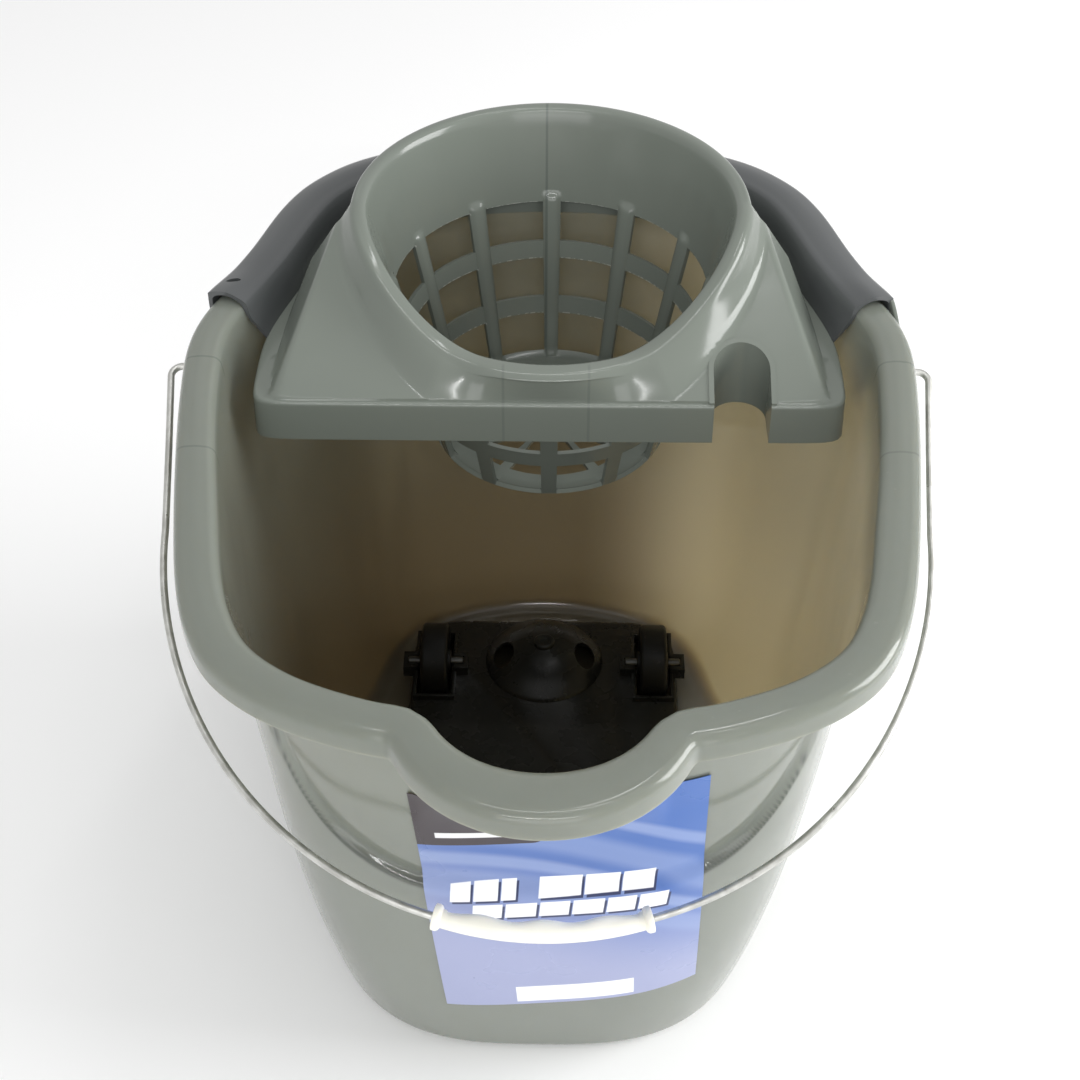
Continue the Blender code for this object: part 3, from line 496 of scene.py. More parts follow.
def front_panel(line, z):
    """Depth of the front wall's sunk panel, which has a round bottom and fades out under the rim."""
    edge, steepness = panel_edge(line, z)
    inside = smoothstep((1 - edge) / np.maximum(steepness * PANEL_EDGE, 1e-3))
    below = smoothstep((PANEL_TOP - z) / PANEL_HEIGHT)
    depth = PANEL_DEPTH_TOP + (PANEL_DEPTH_BOTTOM - PANEL_DEPTH_TOP) * below
    fade = smoothstep((RIM_LIP_BOTTOM - z) / (6 * MM) + 0.3)
    return np.where(line[:, 1] < 0, inside * depth * fade, 0)


def polar_radius(outline, angles):
    """Distance from the cone's axis to the outline, at each angle in radians."""
    across = outline - [0, CONE_Y]
    found = np.arctan2(across[:, 1], across[:, 0])
    return look_up(angles, found, np.linalg.norm(across, axis=1), 2 * math.pi)


# ---- bucket

def bucket_outside(plan):
    """Rings from the underside of the floor, round the foot, up the outer wall to the rim's hollow."""
    foot = -FOOT_INSET
    inner = foot - FOOT_WIDTH
    profile = [
        (inner - 3 * MM, FLOOR_UNDERSIDE), (inner - 1 * MM, FLOOR_UNDERSIDE), (inner, 0.6 * MM),
        (inner + 0.6 * MM, 0), (foot, 0),
    ]
    rings = [ring_at(plan.wall(0, outwards), z) for outwards, z in profile]
    for across, up in arc(-90, 0, 8)[1:]:
        z = FOOT_ROUND * (1 + up)
        rings.append(ring_at(plan.wall(z, foot + (WALL - foot) * across), z))
    coarse = np.linspace(10 * MM, FINE_ROWS_BOTTOM, 22)
    fine = np.arange(FINE_ROWS_BOTTOM + 1 * MM, WALL_ROWS_TOP, 1 * MM)
    return rings + [ring_at(plan.wall(z, WALL), z) for z in np.concatenate([coarse, fine])]


def rim_rings(plan):
    """Rings from the rim's underside, round its lip and over its crown to its inner edge."""
    fillet = 2 * MM
    underside = RIM_TOP - WALL - 1.5 * MM
    fillet_start = underside - fillet * 0.3
    wall_end, lip_start = plan.wall(underside, WALL + fillet), inset(plan.rim, WALL + fillet)
    rings = [ring_at(plan.wall(fillet_start, WALL + fillet * 0.3), fillet_start)]
    rings += [ring_at(wall_end * (1 - share) + lip_start * share, underside) for share in (0, 0.35, 0.7)]
    profile = [
        (WALL + fillet, underside), (WALL + 0.4 * MM, underside - 0.6 * MM), (WALL, underside - fillet),
        (WALL, RIM_LIP_BOTTOM + 0.6 * MM), (1.7 * MM, RIM_LIP_BOTTOM), (0.6 * MM, RIM_LIP_BOTTOM),
        (0.05 * MM, RIM_LIP_BOTTOM + 0.6 * MM),
    ]
    for across, up in arc(0, 90, 10):
        profile.append((RIM_OUTER_ROUND * (1 - across), RIM_TOP - RIM_OUTER_ROUND * (1 - up)))
    for share in (0.25, 0.5, 0.75):
        edge = RIM_OUTER_ROUND * (1 - share) + (plan.width - RIM_INNER_ROUND) * share
        profile.append((edge, RIM_TOP + 0.35 * MM * math.sin(math.pi * share)))
    rings += [ring_at(inset(plan.rim, edge), z) for edge, z in profile]
    for across, up in arc(90, 10, RIM_INNER_STEPS):
        z = RIM_TOP - RIM_INNER_ROUND * (1 - up)
        rings.append(ring_at(plan.wall(z, RIM_INNER_ROUND * (1 - across), panel=False), z))
    return rings


def bucket_inside(plan):
    """Rings down the inner wall, round the fillet and onto the floor."""
    fine = np.arange(WALL_ROWS_TOP, FINE_ROWS_BOTTOM + 2 * MM, -2.4 * MM)
    coarse = np.linspace(FINE_ROWS_BOTTOM, FLOOR_TOP + FLOOR_FILLET + 1 * MM, 18)
    rings = [ring_at(plan.wall(z), z) for z in np.concatenate([fine, coarse])]
    for across, up in arc(0, -90, 9):
        z = FLOOR_TOP + FLOOR_FILLET * (1 + up)
        rings.append(ring_at(plan.wall(z, -FLOOR_FILLET * (1 - across)), z))
    rings.append(ring_at(plan.wall(FLOOR_TOP, -FLOOR_FILLET - 12 * MM), FLOOR_TOP))
    return rings


def make_bucket(plan):
    outside, rim, inside = bucket_outside(plan), rim_rings(plan), bucket_inside(plan)
    count = len(plan.rim)
    inner = np.concatenate([
        np.zeros(count * (len(outside) + len(rim) - RIM_INNER_STEPS)),
        np.repeat(np.linspace(0, 1, RIM_INNER_STEPS), count),
        np.ones(count * len(inside)),
    ])
    rings = outside + rim + inside
    # Painted shade: a per-point share that darkens the outer wall along the sunk panel's edge.
    painted_crease_shade = np.concatenate([crease_shade_share(ring) for ring in outside] + [np.zeros(count * len(rim + inside))])
    return loft("bucket_shell", rings, attributes={"inner": inner, "painted_crease_shade": painted_crease_shade})


def crease_shade_share(ring):
    """How close each point of an outer ring is to the outline of the front panel, 0 to 1, for the painted
    shade along the panel's edge, wider at its bottom.
    """
    z = ring[0, 2]
    edge, steepness = panel_edge(ring, z)
    away = (1 - edge) / np.maximum(steepness, 0.2 / PANEL_HEIGHT)
    at_bottom = smoothstep((PANEL_TOP - z) / PANEL_HEIGHT * 3 - 1.8)
    near = np.exp(-((away - 0.9 * MM) / ((0.8 + 1.0 * at_bottom) * MM)) ** 2)
    return np.where((ring[:, 1] < 0) & (z < RIM_LIP_BOTTOM), near, 0)


def rim_x(plan, y):
    """How far the rim's outer edge reaches to the right at this y."""
    right = plan.rim[plan.rim[:, 0] > 0]
    return look_up(y, right[:, 1], right[:, 0])


def make_ear(name, side, rim_edge):
    """A round-ended plate under the rim with a hole for the wire."""
    turns = np.arange(64) / 64 * 2 * math.pi
    top = RIM_LIP_BOTTOM + 6 * MM - PIVOT_Z
    low_radius = PIVOT_Z - EAR_BOTTOM
    to_side = EAR_HALF_LENGTH / np.maximum(abs(np.cos(turns)), 1e-6)
    to_top = top / np.maximum(np.sin(turns), 1e-6)
    reach = np.where(np.sin(turns) < 0, low_radius, np.minimum(to_side, to_top))
    hole = np.full(len(turns), EAR_HOLE_RADIUS)
    radius = np.column_stack([hole, hole + 0.3 * MM, reach - 0.4 * MM, reach])
    y = PIVOT_Y + radius * np.cos(turns)[:, None]
    z = PIVOT_Z + radius * np.sin(turns)[:, None]
    chamfer = np.array([0.3 * MM, 0, 0, 0.3 * MM])
    outer_x = side * (rim_edge - 0.6 * MM - chamfer)
    inner_x = side * (rim_edge - 3.2 * MM + chamfer)
    faces = (np.stack([np.broadcast_to(x, y.shape), y, z], axis=-1) for x in (outer_x, inner_x))
    return thick_shell(name, *faces)


# ---- wringer

def cone_radius(z):
    return BASKET_RADIUS + CONE_SLOPE * (z - BASKET_BOTTOM)


def column_angles():
    """Column angles round the cone, and each one's place across its rib, from -1 to 1, or 2 in a window."""
    rib = math.radians(RIB_DEGREES)
    window = 2 * math.pi / RIBS - rib
    rib_steps, window_steps = np.arange(RIB_COLUMNS), np.arange(WINDOW_COLUMNS)
    starts = (math.pi / 2 + np.arange(RIBS) * 2 * math.pi / RIBS - rib / 2)[:, None]
    on_ribs = starts + rib * rib_steps / RIB_COLUMNS
    in_windows = starts + rib + window * window_steps / WINDOW_COLUMNS
    rib_place = np.concatenate([2 * rib_steps / RIB_COLUMNS - 1, [1], np.full(WINDOW_COLUMNS - 1, 2)])
    return np.hstack([on_ribs, in_windows]).ravel(), np.tile(rib_place, RIBS)


def degrees_from_front(angles):
    return np.degrees(np.abs((angles + math.pi * 1.5) % (2 * math.pi) - math.pi))


def opening_height(angles):
    """Height of the cone's upper edge: level round the back, dipping at the front."""
    backness = smoothstep((degrees_from_front(angles) - 21) / 68)
    return OPENING_FRONT_Z + (OPENING_BACK_Z - OPENING_FRONT_Z) * backness


def ledge_radius(plan, angles):
    """Outer edge of the hood's ledge: a round-cornered rectangle in front, the bucket's wall behind."""
    room = plan.wall(HOOD_BASE_Z, -2 * GAP, panel=False)
    side = HOOD_HALF_WIDTH / np.maximum(np.abs(np.cos(angles)), 1e-6)
    front = (CONE_Y - HOOD_FRONT_Y) / np.maximum(-np.sin(angles), 1e-6)
    edges = (polar_radius(room, angles), side, front)
    return sum(edge ** -LEDGE_SHARPNESS for edge in edges) ** (-1 / LEDGE_SHARPNESS)


def ledge_width(angles):
    """The ledge is narrow along the front lip, full along the sides and a little less at the back."""
    sine = np.sin(angles)
    side = (LEDGE_WIDTH - FRONT_LIP_WIDTH) * smoothstep((sine + 0.62) / 0.25)
    back = 1 - 0.8 * smoothstep((sine - 0.55) / 0.4)
    return FRONT_LIP_WIDTH + side * back


def hood_height(x, y, base_radius, radius):
    """Height of the hood's slope: the lowest of its front, side and back faces, the creases rounded."""
    front = HOOD_BASE_Z + (y - HOOD_FRONT_Y) * HOOD_FRONT_SLOPE
    backness = smoothstep((y - CONE_Y) / radius)
    run = np.where(y < CONE_Y, HOOD_SIDE_X - np.abs(x), base_radius - radius)
    slope = HOOD_SIDE_SLOPE + (HOOD_BACK_SLOPE - HOOD_SIDE_SLOPE) * backness
    flank = HOOD_BASE_Z + np.maximum(run, 0) * slope
    return smooth_min(smooth_min(front, flank, HOOD_CREASE), HOOD_TOP_Z, HOOD_CREASE)


def basket_heights():
    """Row heights up the cone below its rim, and which rows are inside a window."""
    window = np.linspace(0, WINDOW_HEIGHT, 8, endpoint=False)
    hoop = np.linspace(WINDOW_HEIGHT, WINDOW_PITCH, 6, endpoint=False)
    bottoms = BASKET_BOTTOM + BASE_RING + np.arange(WINDOW_ROWS) * WINDOW_PITCH
    heights = np.add.outer(bottoms, np.concatenate([window, hoop])).ravel()
    windows = np.tile([True] * len(window) + [False] * len(hoop), WINDOW_ROWS)
    used = len(heights) - len(hoop) + 1
    return heights[:used], windows[:used]


class WringerSkin:
    """The wringer's upper surface as rows of points, from the basket's floor out to the skirt's edge."""

    def __init__(self, plan):
        self.angles, self.rib_place = column_angles()
        self.rows, self.windows, self.rib_row = [], [], []
        self.add_floor()
        self.add_cone()
        self.add_hood(plan)

    def add(self, radius, z, window=False, rib=0.0):
        count = len(self.angles)
        radius, z = np.broadcast_to(radius, count), np.broadcast_to(z, count)
        x, y = radius * np.cos(self.angles), CONE_Y + radius * np.sin(self.angles)
        self.rows.append(np.column_stack([x, y, z]))
        self.windows.append(window)
        self.rib_row.append(np.broadcast_to(rib, count))

    def add_floor(self):
        floor_z = BASKET_BOTTOM + WRINGER_WALL
        outer = cone_radius(floor_z) - 2 * MM
        for radius in (0.8 * MM, 8 * MM, FLOOR_HOLE_INNER):
            self.add(radius, floor_z, window=radius == FLOOR_HOLE_INNER)
        for share in np.linspace(0, 1, 7)[1:]:
            radius = FLOOR_HOLE_INNER + (FLOOR_HOLE_OUTER - FLOOR_HOLE_INNER) * share
            self.add(radius, floor_z, window=share < 1)
        self.add((FLOOR_HOLE_OUTER + outer) / 2, floor_z)
        self.add(outer - 1 * MM, floor_z)

    def add_cone(self):
        heights, windows = basket_heights()
        for z, window in zip(heights, windows):
            self.add(cone_radius(z), z, window, rib=1.0)
        top = heights[-1]
        edge = opening_height(self.angles) - 4 * MM
        nub = 4 * MM
        for share in np.linspace(0, 1, 22)[1:]:
            z = top + (edge - top) * share ** 1.3
            fade = np.sqrt(np.clip(1 - ((z - top) / nub) ** 2, 0, 1))
            self.add(cone_radius(z), z, rib=fade)

    def add_hood(self, plan):
        edge_z = opening_height(self.angles)
        backness = (edge_z - OPENING_FRONT_Z) / (OPENING_BACK_Z - OPENING_FRONT_Z)
        rise = FRONT_CREST_RISE + (CREST_RISE - FRONT_CREST_RISE) * backness
        inner = cone_radius(edge_z)
        ledge = ledge_radius(plan, self.angles)
        base = ledge - ledge_width(self.angles)
        outer = inner + RIM_LIP_WIDTH
        open_hood = smoothstep((base - outer - 2 * MM) / (12 * MM))
        rolled = smoothstep((66 - degrees_from_front(self.angles)) / 40)
        roll = np.minimum(base - inner - 5 * MM, ROLL_REACH)

        def slope_row(share):
            radius = outer + (base - outer) * share
            x, y = radius * np.cos(self.angles), CONE_Y + radius * np.sin(self.angles)
            height = hood_height(x, y, base, radius)
            reach = BEAD_FADE * (1 - rolled) + roll * rolled
            away = np.clip((radius - inner - 5 * MM) / reach, 0, 1)
            fade = 1 - smoothstep(away) + rolled * ROLL_SHARE * (smoothstep(away) - away)
            bead = (edge_z + rise - height) * fade
            sloped = height + np.maximum(bead, 0) * (1 - share * (1 - rolled))
            steep = (edge_z - 1.5 * MM) * (1 - share) + HOOD_BASE_Z * share
            return radius, sloped * open_hood + steep * (1 - open_hood)

        crest = [
            (cone_radius(edge_z - 4 * MM), edge_z - 4 * MM),
            (inner + 0.1 * MM, edge_z - 0.5 * MM),
            (inner + 1.6 * MM, edge_z + 0.75 * rise),
            (inner + 4.4 * MM, edge_z + rise),
            (inner + 7.4 * MM, edge_z + 0.6 * rise),
            slope_row(0.0),
            slope_row(0.08),
        ]
        for radius, z in refine(np.array([np.stack(row) for row in crest]))[1:-1]:
            self.add(radius, z)
        for share in np.concatenate([np.linspace(0.08, 0.9, 22), [0.93, 0.96, 0.98]]):
            self.add(*slope_row(share))
        self.add(base, HOOD_BASE_Z)
        self.add(base + (ledge - LIP_ROUND - base) * 0.5, HOOD_BASE_Z)
        for across, up in arc(90, 0, 6):
            self.add(ledge - LIP_ROUND * (1 - across), HOOD_BASE_Z - LIP_ROUND * (1 - up))
        sine = np.sin(self.angles)
        drop = SKIRT_BOTTOM + (SKIRT_BACK_BOTTOM - SKIRT_BOTTOM) * smoothstep((sine + 0.2) / 0.3)
        lean = 0.6 * MM - 3.4 * MM * smoothstep((sine + 0.3) / 0.2)
        for share in np.linspace(0, 1, 9)[1:]:
            top = HOOD_BASE_Z - LIP_ROUND
            self.add(ledge + lean * share, top + (drop - top) * share)

    def grid(self):
        return np.array(self.rows).transpose(1, 0, 2)

    def rib_share(self):
        """How far each point belongs to a rib that stands proud, 0 to 1."""
        across = np.sqrt(np.clip(1 - self.rib_place ** 2, 0, 1))
        return across[:, None] * np.array(self.rib_row).T


def offset_grid(grid, distance):
    """The grid moved along its normals, away from its upper side."""
    across = np.roll(grid, -1, axis=0) - np.roll(grid, 1, axis=0)
    steps = np.diff(grid, axis=1)
    steps /= np.linalg.norm(steps, axis=2)[..., None]
    along = np.empty_like(grid)
    along[:, 0], along[:, -1] = steps[:, 0], steps[:, -1]
    along[:, 1:-1] = steps[:, 1:] + steps[:, :-1]
    normal = np.cross(across, along)
    normal /= np.linalg.norm(normal, axis=2)[..., None]
    return grid + normal * distance


def make_wringer(plan):
    skin = WringerSkin(plan)
    surface = skin.grid()
    windows = np.array(skin.windows)[:-1]
    in_window = skin.rib_place >= 1
    keep = ~(in_window[:, None] & windows[None, :])
    back = offset_grid(surface, WRINGER_WALL)
    front = offset_grid(surface, -RIB_PROUD * skin.rib_share()[..., None])
    flash = np.zeros(front.shape[:2])
    in_cone = np.array(skin.rib_row)[1:-1, 0] > 0
    window_tops = np.flatnonzero((np.diff(windows.astype(int)) < 0) & in_cone) + 1
    flash[:, window_tops] = 1.0
    flash = np.where(skin.rib_place[:, None] > 0.9, flash, 0)
    flashes = np.concatenate([flash.ravel(), np.zeros(flash.size)])
    wringer = thick_shell("wringer_shell", front, back, keep, attributes={"flash": flashes})
    wall = notch_prism("notch_wall", NOTCH_RADIUS + WALL, HOOD_FRONT_Y + 1 * MM, SKIRT_BOTTOM, 0.6 * MM)
    boolean(wringer, wall, "UNION")
    notch = notch_prism("notch", NOTCH_RADIUS, HOOD_FRONT_Y - 10 * MM, SKIRT_BOTTOM - 5 * MM, 30 * MM)
    boolean(wringer, notch, "DIFFERENCE")
    shade(wringer)
    return wringer


def notch_prism(name, radius, front_y, bottom_z, rise):
    """A U-shaped post whose top follows the hood's front slope, this much above it."""
    back = arc(0, 180, 33, (NOTCH_X, NOTCH_BACK_Y - NOTCH_RADIUS), radius)
    outline = np.vstack([(NOTCH_X + radius, front_y), back, (NOTCH_X - radius, front_y)])
    slope_z = HOOD_BASE_Z + (outline[:, 1] - HOOD_FRONT_Y) * HOOD_FRONT_SLOPE + rise
    return loft(name, [ring_at(outline, bottom_z), ring_at(outline, slope_z)])


def make_collar(plan):
    """The skin from the ledge up and over the back of the rim, a little clear of the rim at its ends."""
    across = plan.wall(HOOD_BASE_Z, panel=False) - [0, CONE_Y]
    angles = np.arctan2(across[:, 1], across[:, 0])
    ledge = ledge_radius(plan, angles)
    lift_end_y = COLLAR_FRONT_Y + COLLAR_LIFT_LENGTH
    lift = COLLAR_LIFT * smoothstep((lift_end_y - plan.rim[:, 1]) / COLLAR_LIFT_LENGTH)

    def rows(skin):
        """Rings of the collar's underside, or of its upper side when skin is its thickness."""
        face = GAP + skin
        top = RIM_TOP + face
        foot = ledge - (1.6 * MM if skin else 0)
        over_rim = [
            (plan.width - 1.2 * MM + face, top - 1.2 * MM),
            (plan.width - 3.4 * MM, top + 0.1 * MM + 0.6 * lift),
            (plan.width / 2, top + 0.5 * MM + lift),
            (3.6 * MM, top + lift),
            (0.6 * MM - face, top - 1.8 * MM + lift),
            (-face, top - 4.2 * MM + lift),
            (-face, COLLAR_LIP_BOTTOM),
        ]
        up_wall = [
            ring_at(np.column_stack([foot * np.cos(angles), CONE_Y + foot * np.sin(angles)]), COLLAR_FOOT_Z),
            ring_at(plan.wall(RIM_TOP - 6 * MM, -face - 0.3 * MM, panel=False), RIM_TOP - 6 * MM),
        ]
        return np.array(up_wall + [ring_at(inset(plan.rim, edge), z) for edge, z in over_rim])

    behind = np.where(plan.rim[:, 1] > COLLAR_FRONT_Y)[0]
    turn = np.arctan2(plan.rim[behind, 0], plan.rim[behind, 1] - CONE_Y + 0.1)
    order = behind[np.argsort(turn)]
    outer, inner = (refine(rows(skin)).transpose(1, 0, 2)[order] for skin in (COLLAR_SKIN, 0))
    collar = thick_shell("wringer_collar", outer, inner, closed=False)
    slot_y = COLLAR_FRONT_Y + 9 * MM
    slot_place = (-rim_x(plan, slot_y) + 5 * MM, slot_y, RIM_TOP - 4 * MM)
    boolean(collar, bore("slot", COLLAR_SLOT_RADIUS, 12 * MM, slot_place, (2.0, 1, 1)), "DIFFERENCE")
    shade(collar, 50)
    return collar


def make_hook(plan):
    """The tongue that runs forward from the collar's right end, down the outside of the rim."""
    start_y = COLLAR_FRONT_Y + 3 * MM
    rings = []
    for share in np.linspace(0, 1, 13):
        y = HOOK_END_Y + (start_y - HOOK_END_Y) * share
        inner_x = rim_x(plan, y) + GAP + 0.8 * MM * share
        outer_x = inner_x + 1.8 * MM
        top = RIM_TOP - 9 * MM + 11 * MM * smoothstep(share)
        low = top - HOOK_HEIGHT
        rings.append(np.array([(inner_x, y, low), (outer_x, y, low), (outer_x, y, top), (inner_x, y, top)]))
    hook = loft("wringer_hook", rings)
    soften_edges(hook, 0.5 * MM)
    return hook


# ---- bail

def bail_path():
    """Centre line of the right half of the wire, from its end inside the ear to the middle of the grip."""
    bend = 5 * MM
    return np.vstack([
        [(BAIL_END_X, 0), (BAIL_END_X + 8 * MM, 0)],
        arc(-90, 0, 10, (BAIL_PIVOT_X - bend, bend), bend),
        [(BAIL_PIVOT_X - 2.5 * MM, BAIL_LEG / 2)],
        arc(0, 90, 60, (0, BAIL_LEG), (BAIL_HALF_WIDTH, BAIL_BOW)),
    ])


def on_bail(x, reach, lift=0.0):
    """A point of the bail's own plane, in the object's frame. lift is square to that plane, upwards."""
    angle = math.radians(BAIL_REST_DEGREES)
    y = PIVOT_Y - reach * math.cos(angle) - lift * math.sin(angle)
    z = PIVOT_Z - reach * math.sin(angle) + lift * math.cos(angle)
    return (x, y, z)


def make_bail_wire():
    half = bail_path()
    path = np.array([on_bail(*point) for point in np.vstack([half, half[-2::-1] * [-1, 1]])])
    along = np.gradient(path, axis=0)
    along /= np.linalg.norm(along, axis=1)[:, None]
    up = np.subtract(on_bail(0, 0, 1), on_bail(0, 0, 0))
    side = np.cross(along, up)
    side /= np.linalg.norm(side, axis=1)[:, None]
    lift = np.cross(side, along)
    radius = np.full(len(path), WIRE_RADIUS)
    radius[0] = radius[-1] = 0.7 * WIRE_RADIUS
    turn = np.arange(WIRE_SIDES) / WIRE_SIDES * 2 * math.pi
    return loft("bail_wire_bar", [
        path[i] + radius[i] * (np.outer(np.cos(turn), side[i]) + np.outer(np.sin(turn), lift[i]))
        for i in range(len(path))
    ])


def make_bail_grip():
    """A C-shaped sleeve round the wire with finger waves and a flared collar at each end."""
    collar = [0.935, 0.955, 0.995, 1]
    stations = np.concatenate([np.negative(collar[::-1]), np.linspace(-0.92, 0.92, 93), collar])
    slot = math.radians(24)
    sweep_angles = -math.pi / 2 + slot + (2 * math.pi - 2 * slot) * np.arange(25) / 24
    rings = []
    for share in stations:
        turn = share * GRIP_HALF_LENGTH / BAIL_HALF_WIDTH
        centre_x = BAIL_HALF_WIDTH * math.sin(turn)
        centre_reach = BAIL_LEG + BAIL_BOW * math.cos(turn)
        waist = 0.82 + 0.18 * math.cos(share * math.pi / 2) ** 0.6
        wave = 0.7 * MM * math.cos(share * math.pi * 3.5) * (abs(share) < 0.9)
        radius = GRIP_RADIUS * waist + wave * smoothstep(-np.cos(sweep_angles))
        if abs(share) > 0.93:
            rounded = abs(share) in (1, 0.935)
            radius = np.full(len(sweep_angles), GRIP_COLLAR_RADIUS - (0.5 * MM if rounded else 0))
        reach = np.concatenate([radius, np.full(len(radius), GRIP_BORE)])
        angles = np.concatenate([sweep_angles, sweep_angles[::-1]])
        out, lift = reach * np.cos(angles), reach * np.sin(angles)
        x, along = centre_x + out * math.sin(turn), centre_reach + out * math.cos(turn)
        rings.append(np.column_stack(on_bail(x, along, lift)))
    return loft("bail_grip_sleeve", rings, sharp_degrees=45)


# ---- label

def make_label(plan):
    """A film on the front wall. It bridges the ledge of the sunk panel."""
    u, v = np.meshgrid(np.linspace(0, 1, 61), np.linspace(0, 1, 91), indexing="ij")
    weights = [(1 - u) * (1 - v), u * (1 - v), (1 - u) * v, u * v]
    place = sum(weight[..., None] * corner for weight, corner in zip(weights, np.array(LABEL_CORNERS) * MM))
    depths = []
    levels = np.arange(40 * MM, 240 * MM, 1 * MM)
    xs = np.linspace(-60 * MM, 75 * MM, 91)
    for z in levels:
        line = plan.wall(z, WALL)
        front = line[line[:, 1] < 0]
        depths.append(look_up(xs, front[:, 0], front[:, 1]))
    depths = np.array(depths)
    shifts = range(-LABEL_BRIDGE_ROWS, LABEL_BRIDGE_ROWS + 1)
    outermost = np.min([np.roll(depths, shift, axis=0) for shift in shifts], axis=0)
    bridged = np.mean([np.roll(outermost, shift, axis=0) for shift in shifts], axis=0)
    row = np.interp(place[..., 1], levels, np.arange(len(levels)))
    column = np.interp(place[..., 0], xs, np.arange(len(xs)))
    r, c = row.astype(int).clip(0, len(levels) - 2), column.astype(int).clip(0, len(xs) - 2)
    fr, fc = row - r, column - c
    near, far = (bridged[r, k] * (1 - fr) + bridged[r + 1, k] * fr for k in (c, c + 1))
    y = near * (1 - fc) + far * fc
    back = np.stack([place[..., 0], y - LABEL_GAP, place[..., 1]], axis=-1)
    front = back - [0, LABEL_THICKNESS, 0]
    printed = {"label_u": np.tile(u.ravel(), 2), "label_v": np.tile(v.ravel(), 2)}
    return thick_shell("front_label_film", front, back, closed=False, attributes=printed)


# ---- wheel base

def wheel_places():
    return {
        "rear_left": (BASE_X - WHEEL_X, WHEEL_REAR_Y),
        "rear_right": (BASE_X + WHEEL_X, WHEEL_REAR_Y),
        "front_left": (BASE_X - WHEEL_X, WHEEL_FRONT_Y),
        "front_right": (BASE_X + WHEEL_X, WHEEL_FRONT_Y),
    }


def add_box(target, place, half_x, half_y, low_z, high_z, operation):
    x, y = place
    tool = box("tool", (x - half_x, y - half_y, low_z), (x + half_x, y + half_y, high_z))
    boolean(target, tool, operation)


def plate_outline():
    reach = PLATE_HALF_WIDTH - PLATE_CORNER
    back, front = PLATE_BACK_Y - PLATE_CORNER, PLATE_FRONT_Y + PLATE_CORNER
    corners = ((reach, back), (-reach, back), (-reach, front), (reach, front))
    turns = (0, 90, 180, 270)
    return np.vstack([
        arc(turn, turn + 90, 25, (BASE_X + x, y), PLATE_CORNER) for turn, (x, y) in zip(turns, corners)
    ])


def dome_profile():
    """Section of the dome with its boss, thick as a wall."""
    sphere = (DOME_RADIUS ** 2 + DOME_HEIGHT ** 2) / (2 * DOME_HEIGHT)
    profile = []
    for grow, shares in ((0.0, np.linspace(1, 0.2, 17)), (-WALL, np.linspace(0.2, 0.96, 17))):
        for radius in shares * DOME_RADIUS:
            height = math.sqrt(sphere ** 2 - radius ** 2) - (sphere - DOME_HEIGHT)
            profile.append((radius, height + grow))
        if grow == 0.0:
            top = DOME_HEIGHT + DOME_BOSS_HEIGHT
            profile += [
                (DOME_BOSS_RADIUS, DOME_HEIGHT - 0.3 * MM), (DOME_BOSS_RADIUS, top - 0.5 * MM),
                (DOME_BOSS_RADIUS - 0.5 * MM, top), (3.2 * MM, top), (2.8 * MM, top - 0.8 * MM),
                (0, top - 0.8 * MM), (0, DOME_HEIGHT - WALL),
            ]
    profile.append((DOME_RADIUS, -WALL))
    return profile


def make_wheel_base():
    inside = plate_outline()
    foot = inset(inside, -1.5 * MM)
    rings = [
        ring_at(inset(inside, 4 * MM), PLATE_TOP - PLATE_THICKNESS),
        ring_at(inset(inside, 2.2 * MM), PLATE_TOP - PLATE_THICKNESS),
        ring_at(inset(foot, 2.2 * MM), PLATE_SKIRT_BOTTOM),
        ring_at(foot, PLATE_SKIRT_BOTTOM),
        ring_at(inside, PLATE_TOP - 2.5 * MM),
        ring_at(inset(inside, 0.7 * MM), PLATE_TOP - 0.7 * MM),
        ring_at(inset(inside, 2.5 * MM), PLATE_TOP),
    ]
    base = loft("wheel_base_plate", rings)
    well_x, well_y = WHEEL_HALF_WIDTH + WELL_CLEARANCE, WHEEL_RADIUS + WELL_CLEARANCE
    low = PLATE_TOP - PLATE_THICKNESS / 2
    for place in wheel_places().values():
        add_box(base, place, well_x + WELL_RIM, well_y + WELL_RIM, low, PLATE_TOP + WELL_RIM_HEIGHT, "UNION")
        add_box(base, place, CRADLE_HALF_LENGTH, CRADLE_HALF_WIDTH, low, WHEEL_Z + 1 * MM, "UNION")
    for place in wheel_places().values():
        add_box(base, place, well_x, well_y, 0, WHEEL_Z + 9 * MM, "DIFFERENCE")
        slot_low = WHEEL_Z - AXLE_RADIUS - AXLE_PLAY
        half_length, half_width = AXLE_HALF_LENGTH + AXLE_PLAY, AXLE_RADIUS + AXLE_PLAY
        add_box(base, place, half_length, half_width, slot_low, WHEEL_Z + 9 * MM, "DIFFERENCE")
    opening = bore("opening", DOME_RADIUS - 2 * WALL, 10 * MM, (BASE_X, DOME_Y, PLATE_TOP - 6 * MM))
    boolean(base, opening, "DIFFERENCE")
    dome = turned("dome", dome_profile(), (BASE_X, DOME_Y, PLATE_TOP + 0.2 * MM), "Z", steps=96)
    boolean(base, dome, "UNION")
    for side in (-1, 1):
        place = (BASE_X + side * DOME_HOLE_X, DOME_Y - 3 * MM, PLATE_TOP - 4 * MM)
        boolean(base, bore("hole", DOME_HOLE_RADIUS, 20 * MM, place, (1, 1.6, 1)), "DIFFERENCE")
    soften_edges(base, 0.5 * MM)
    return base


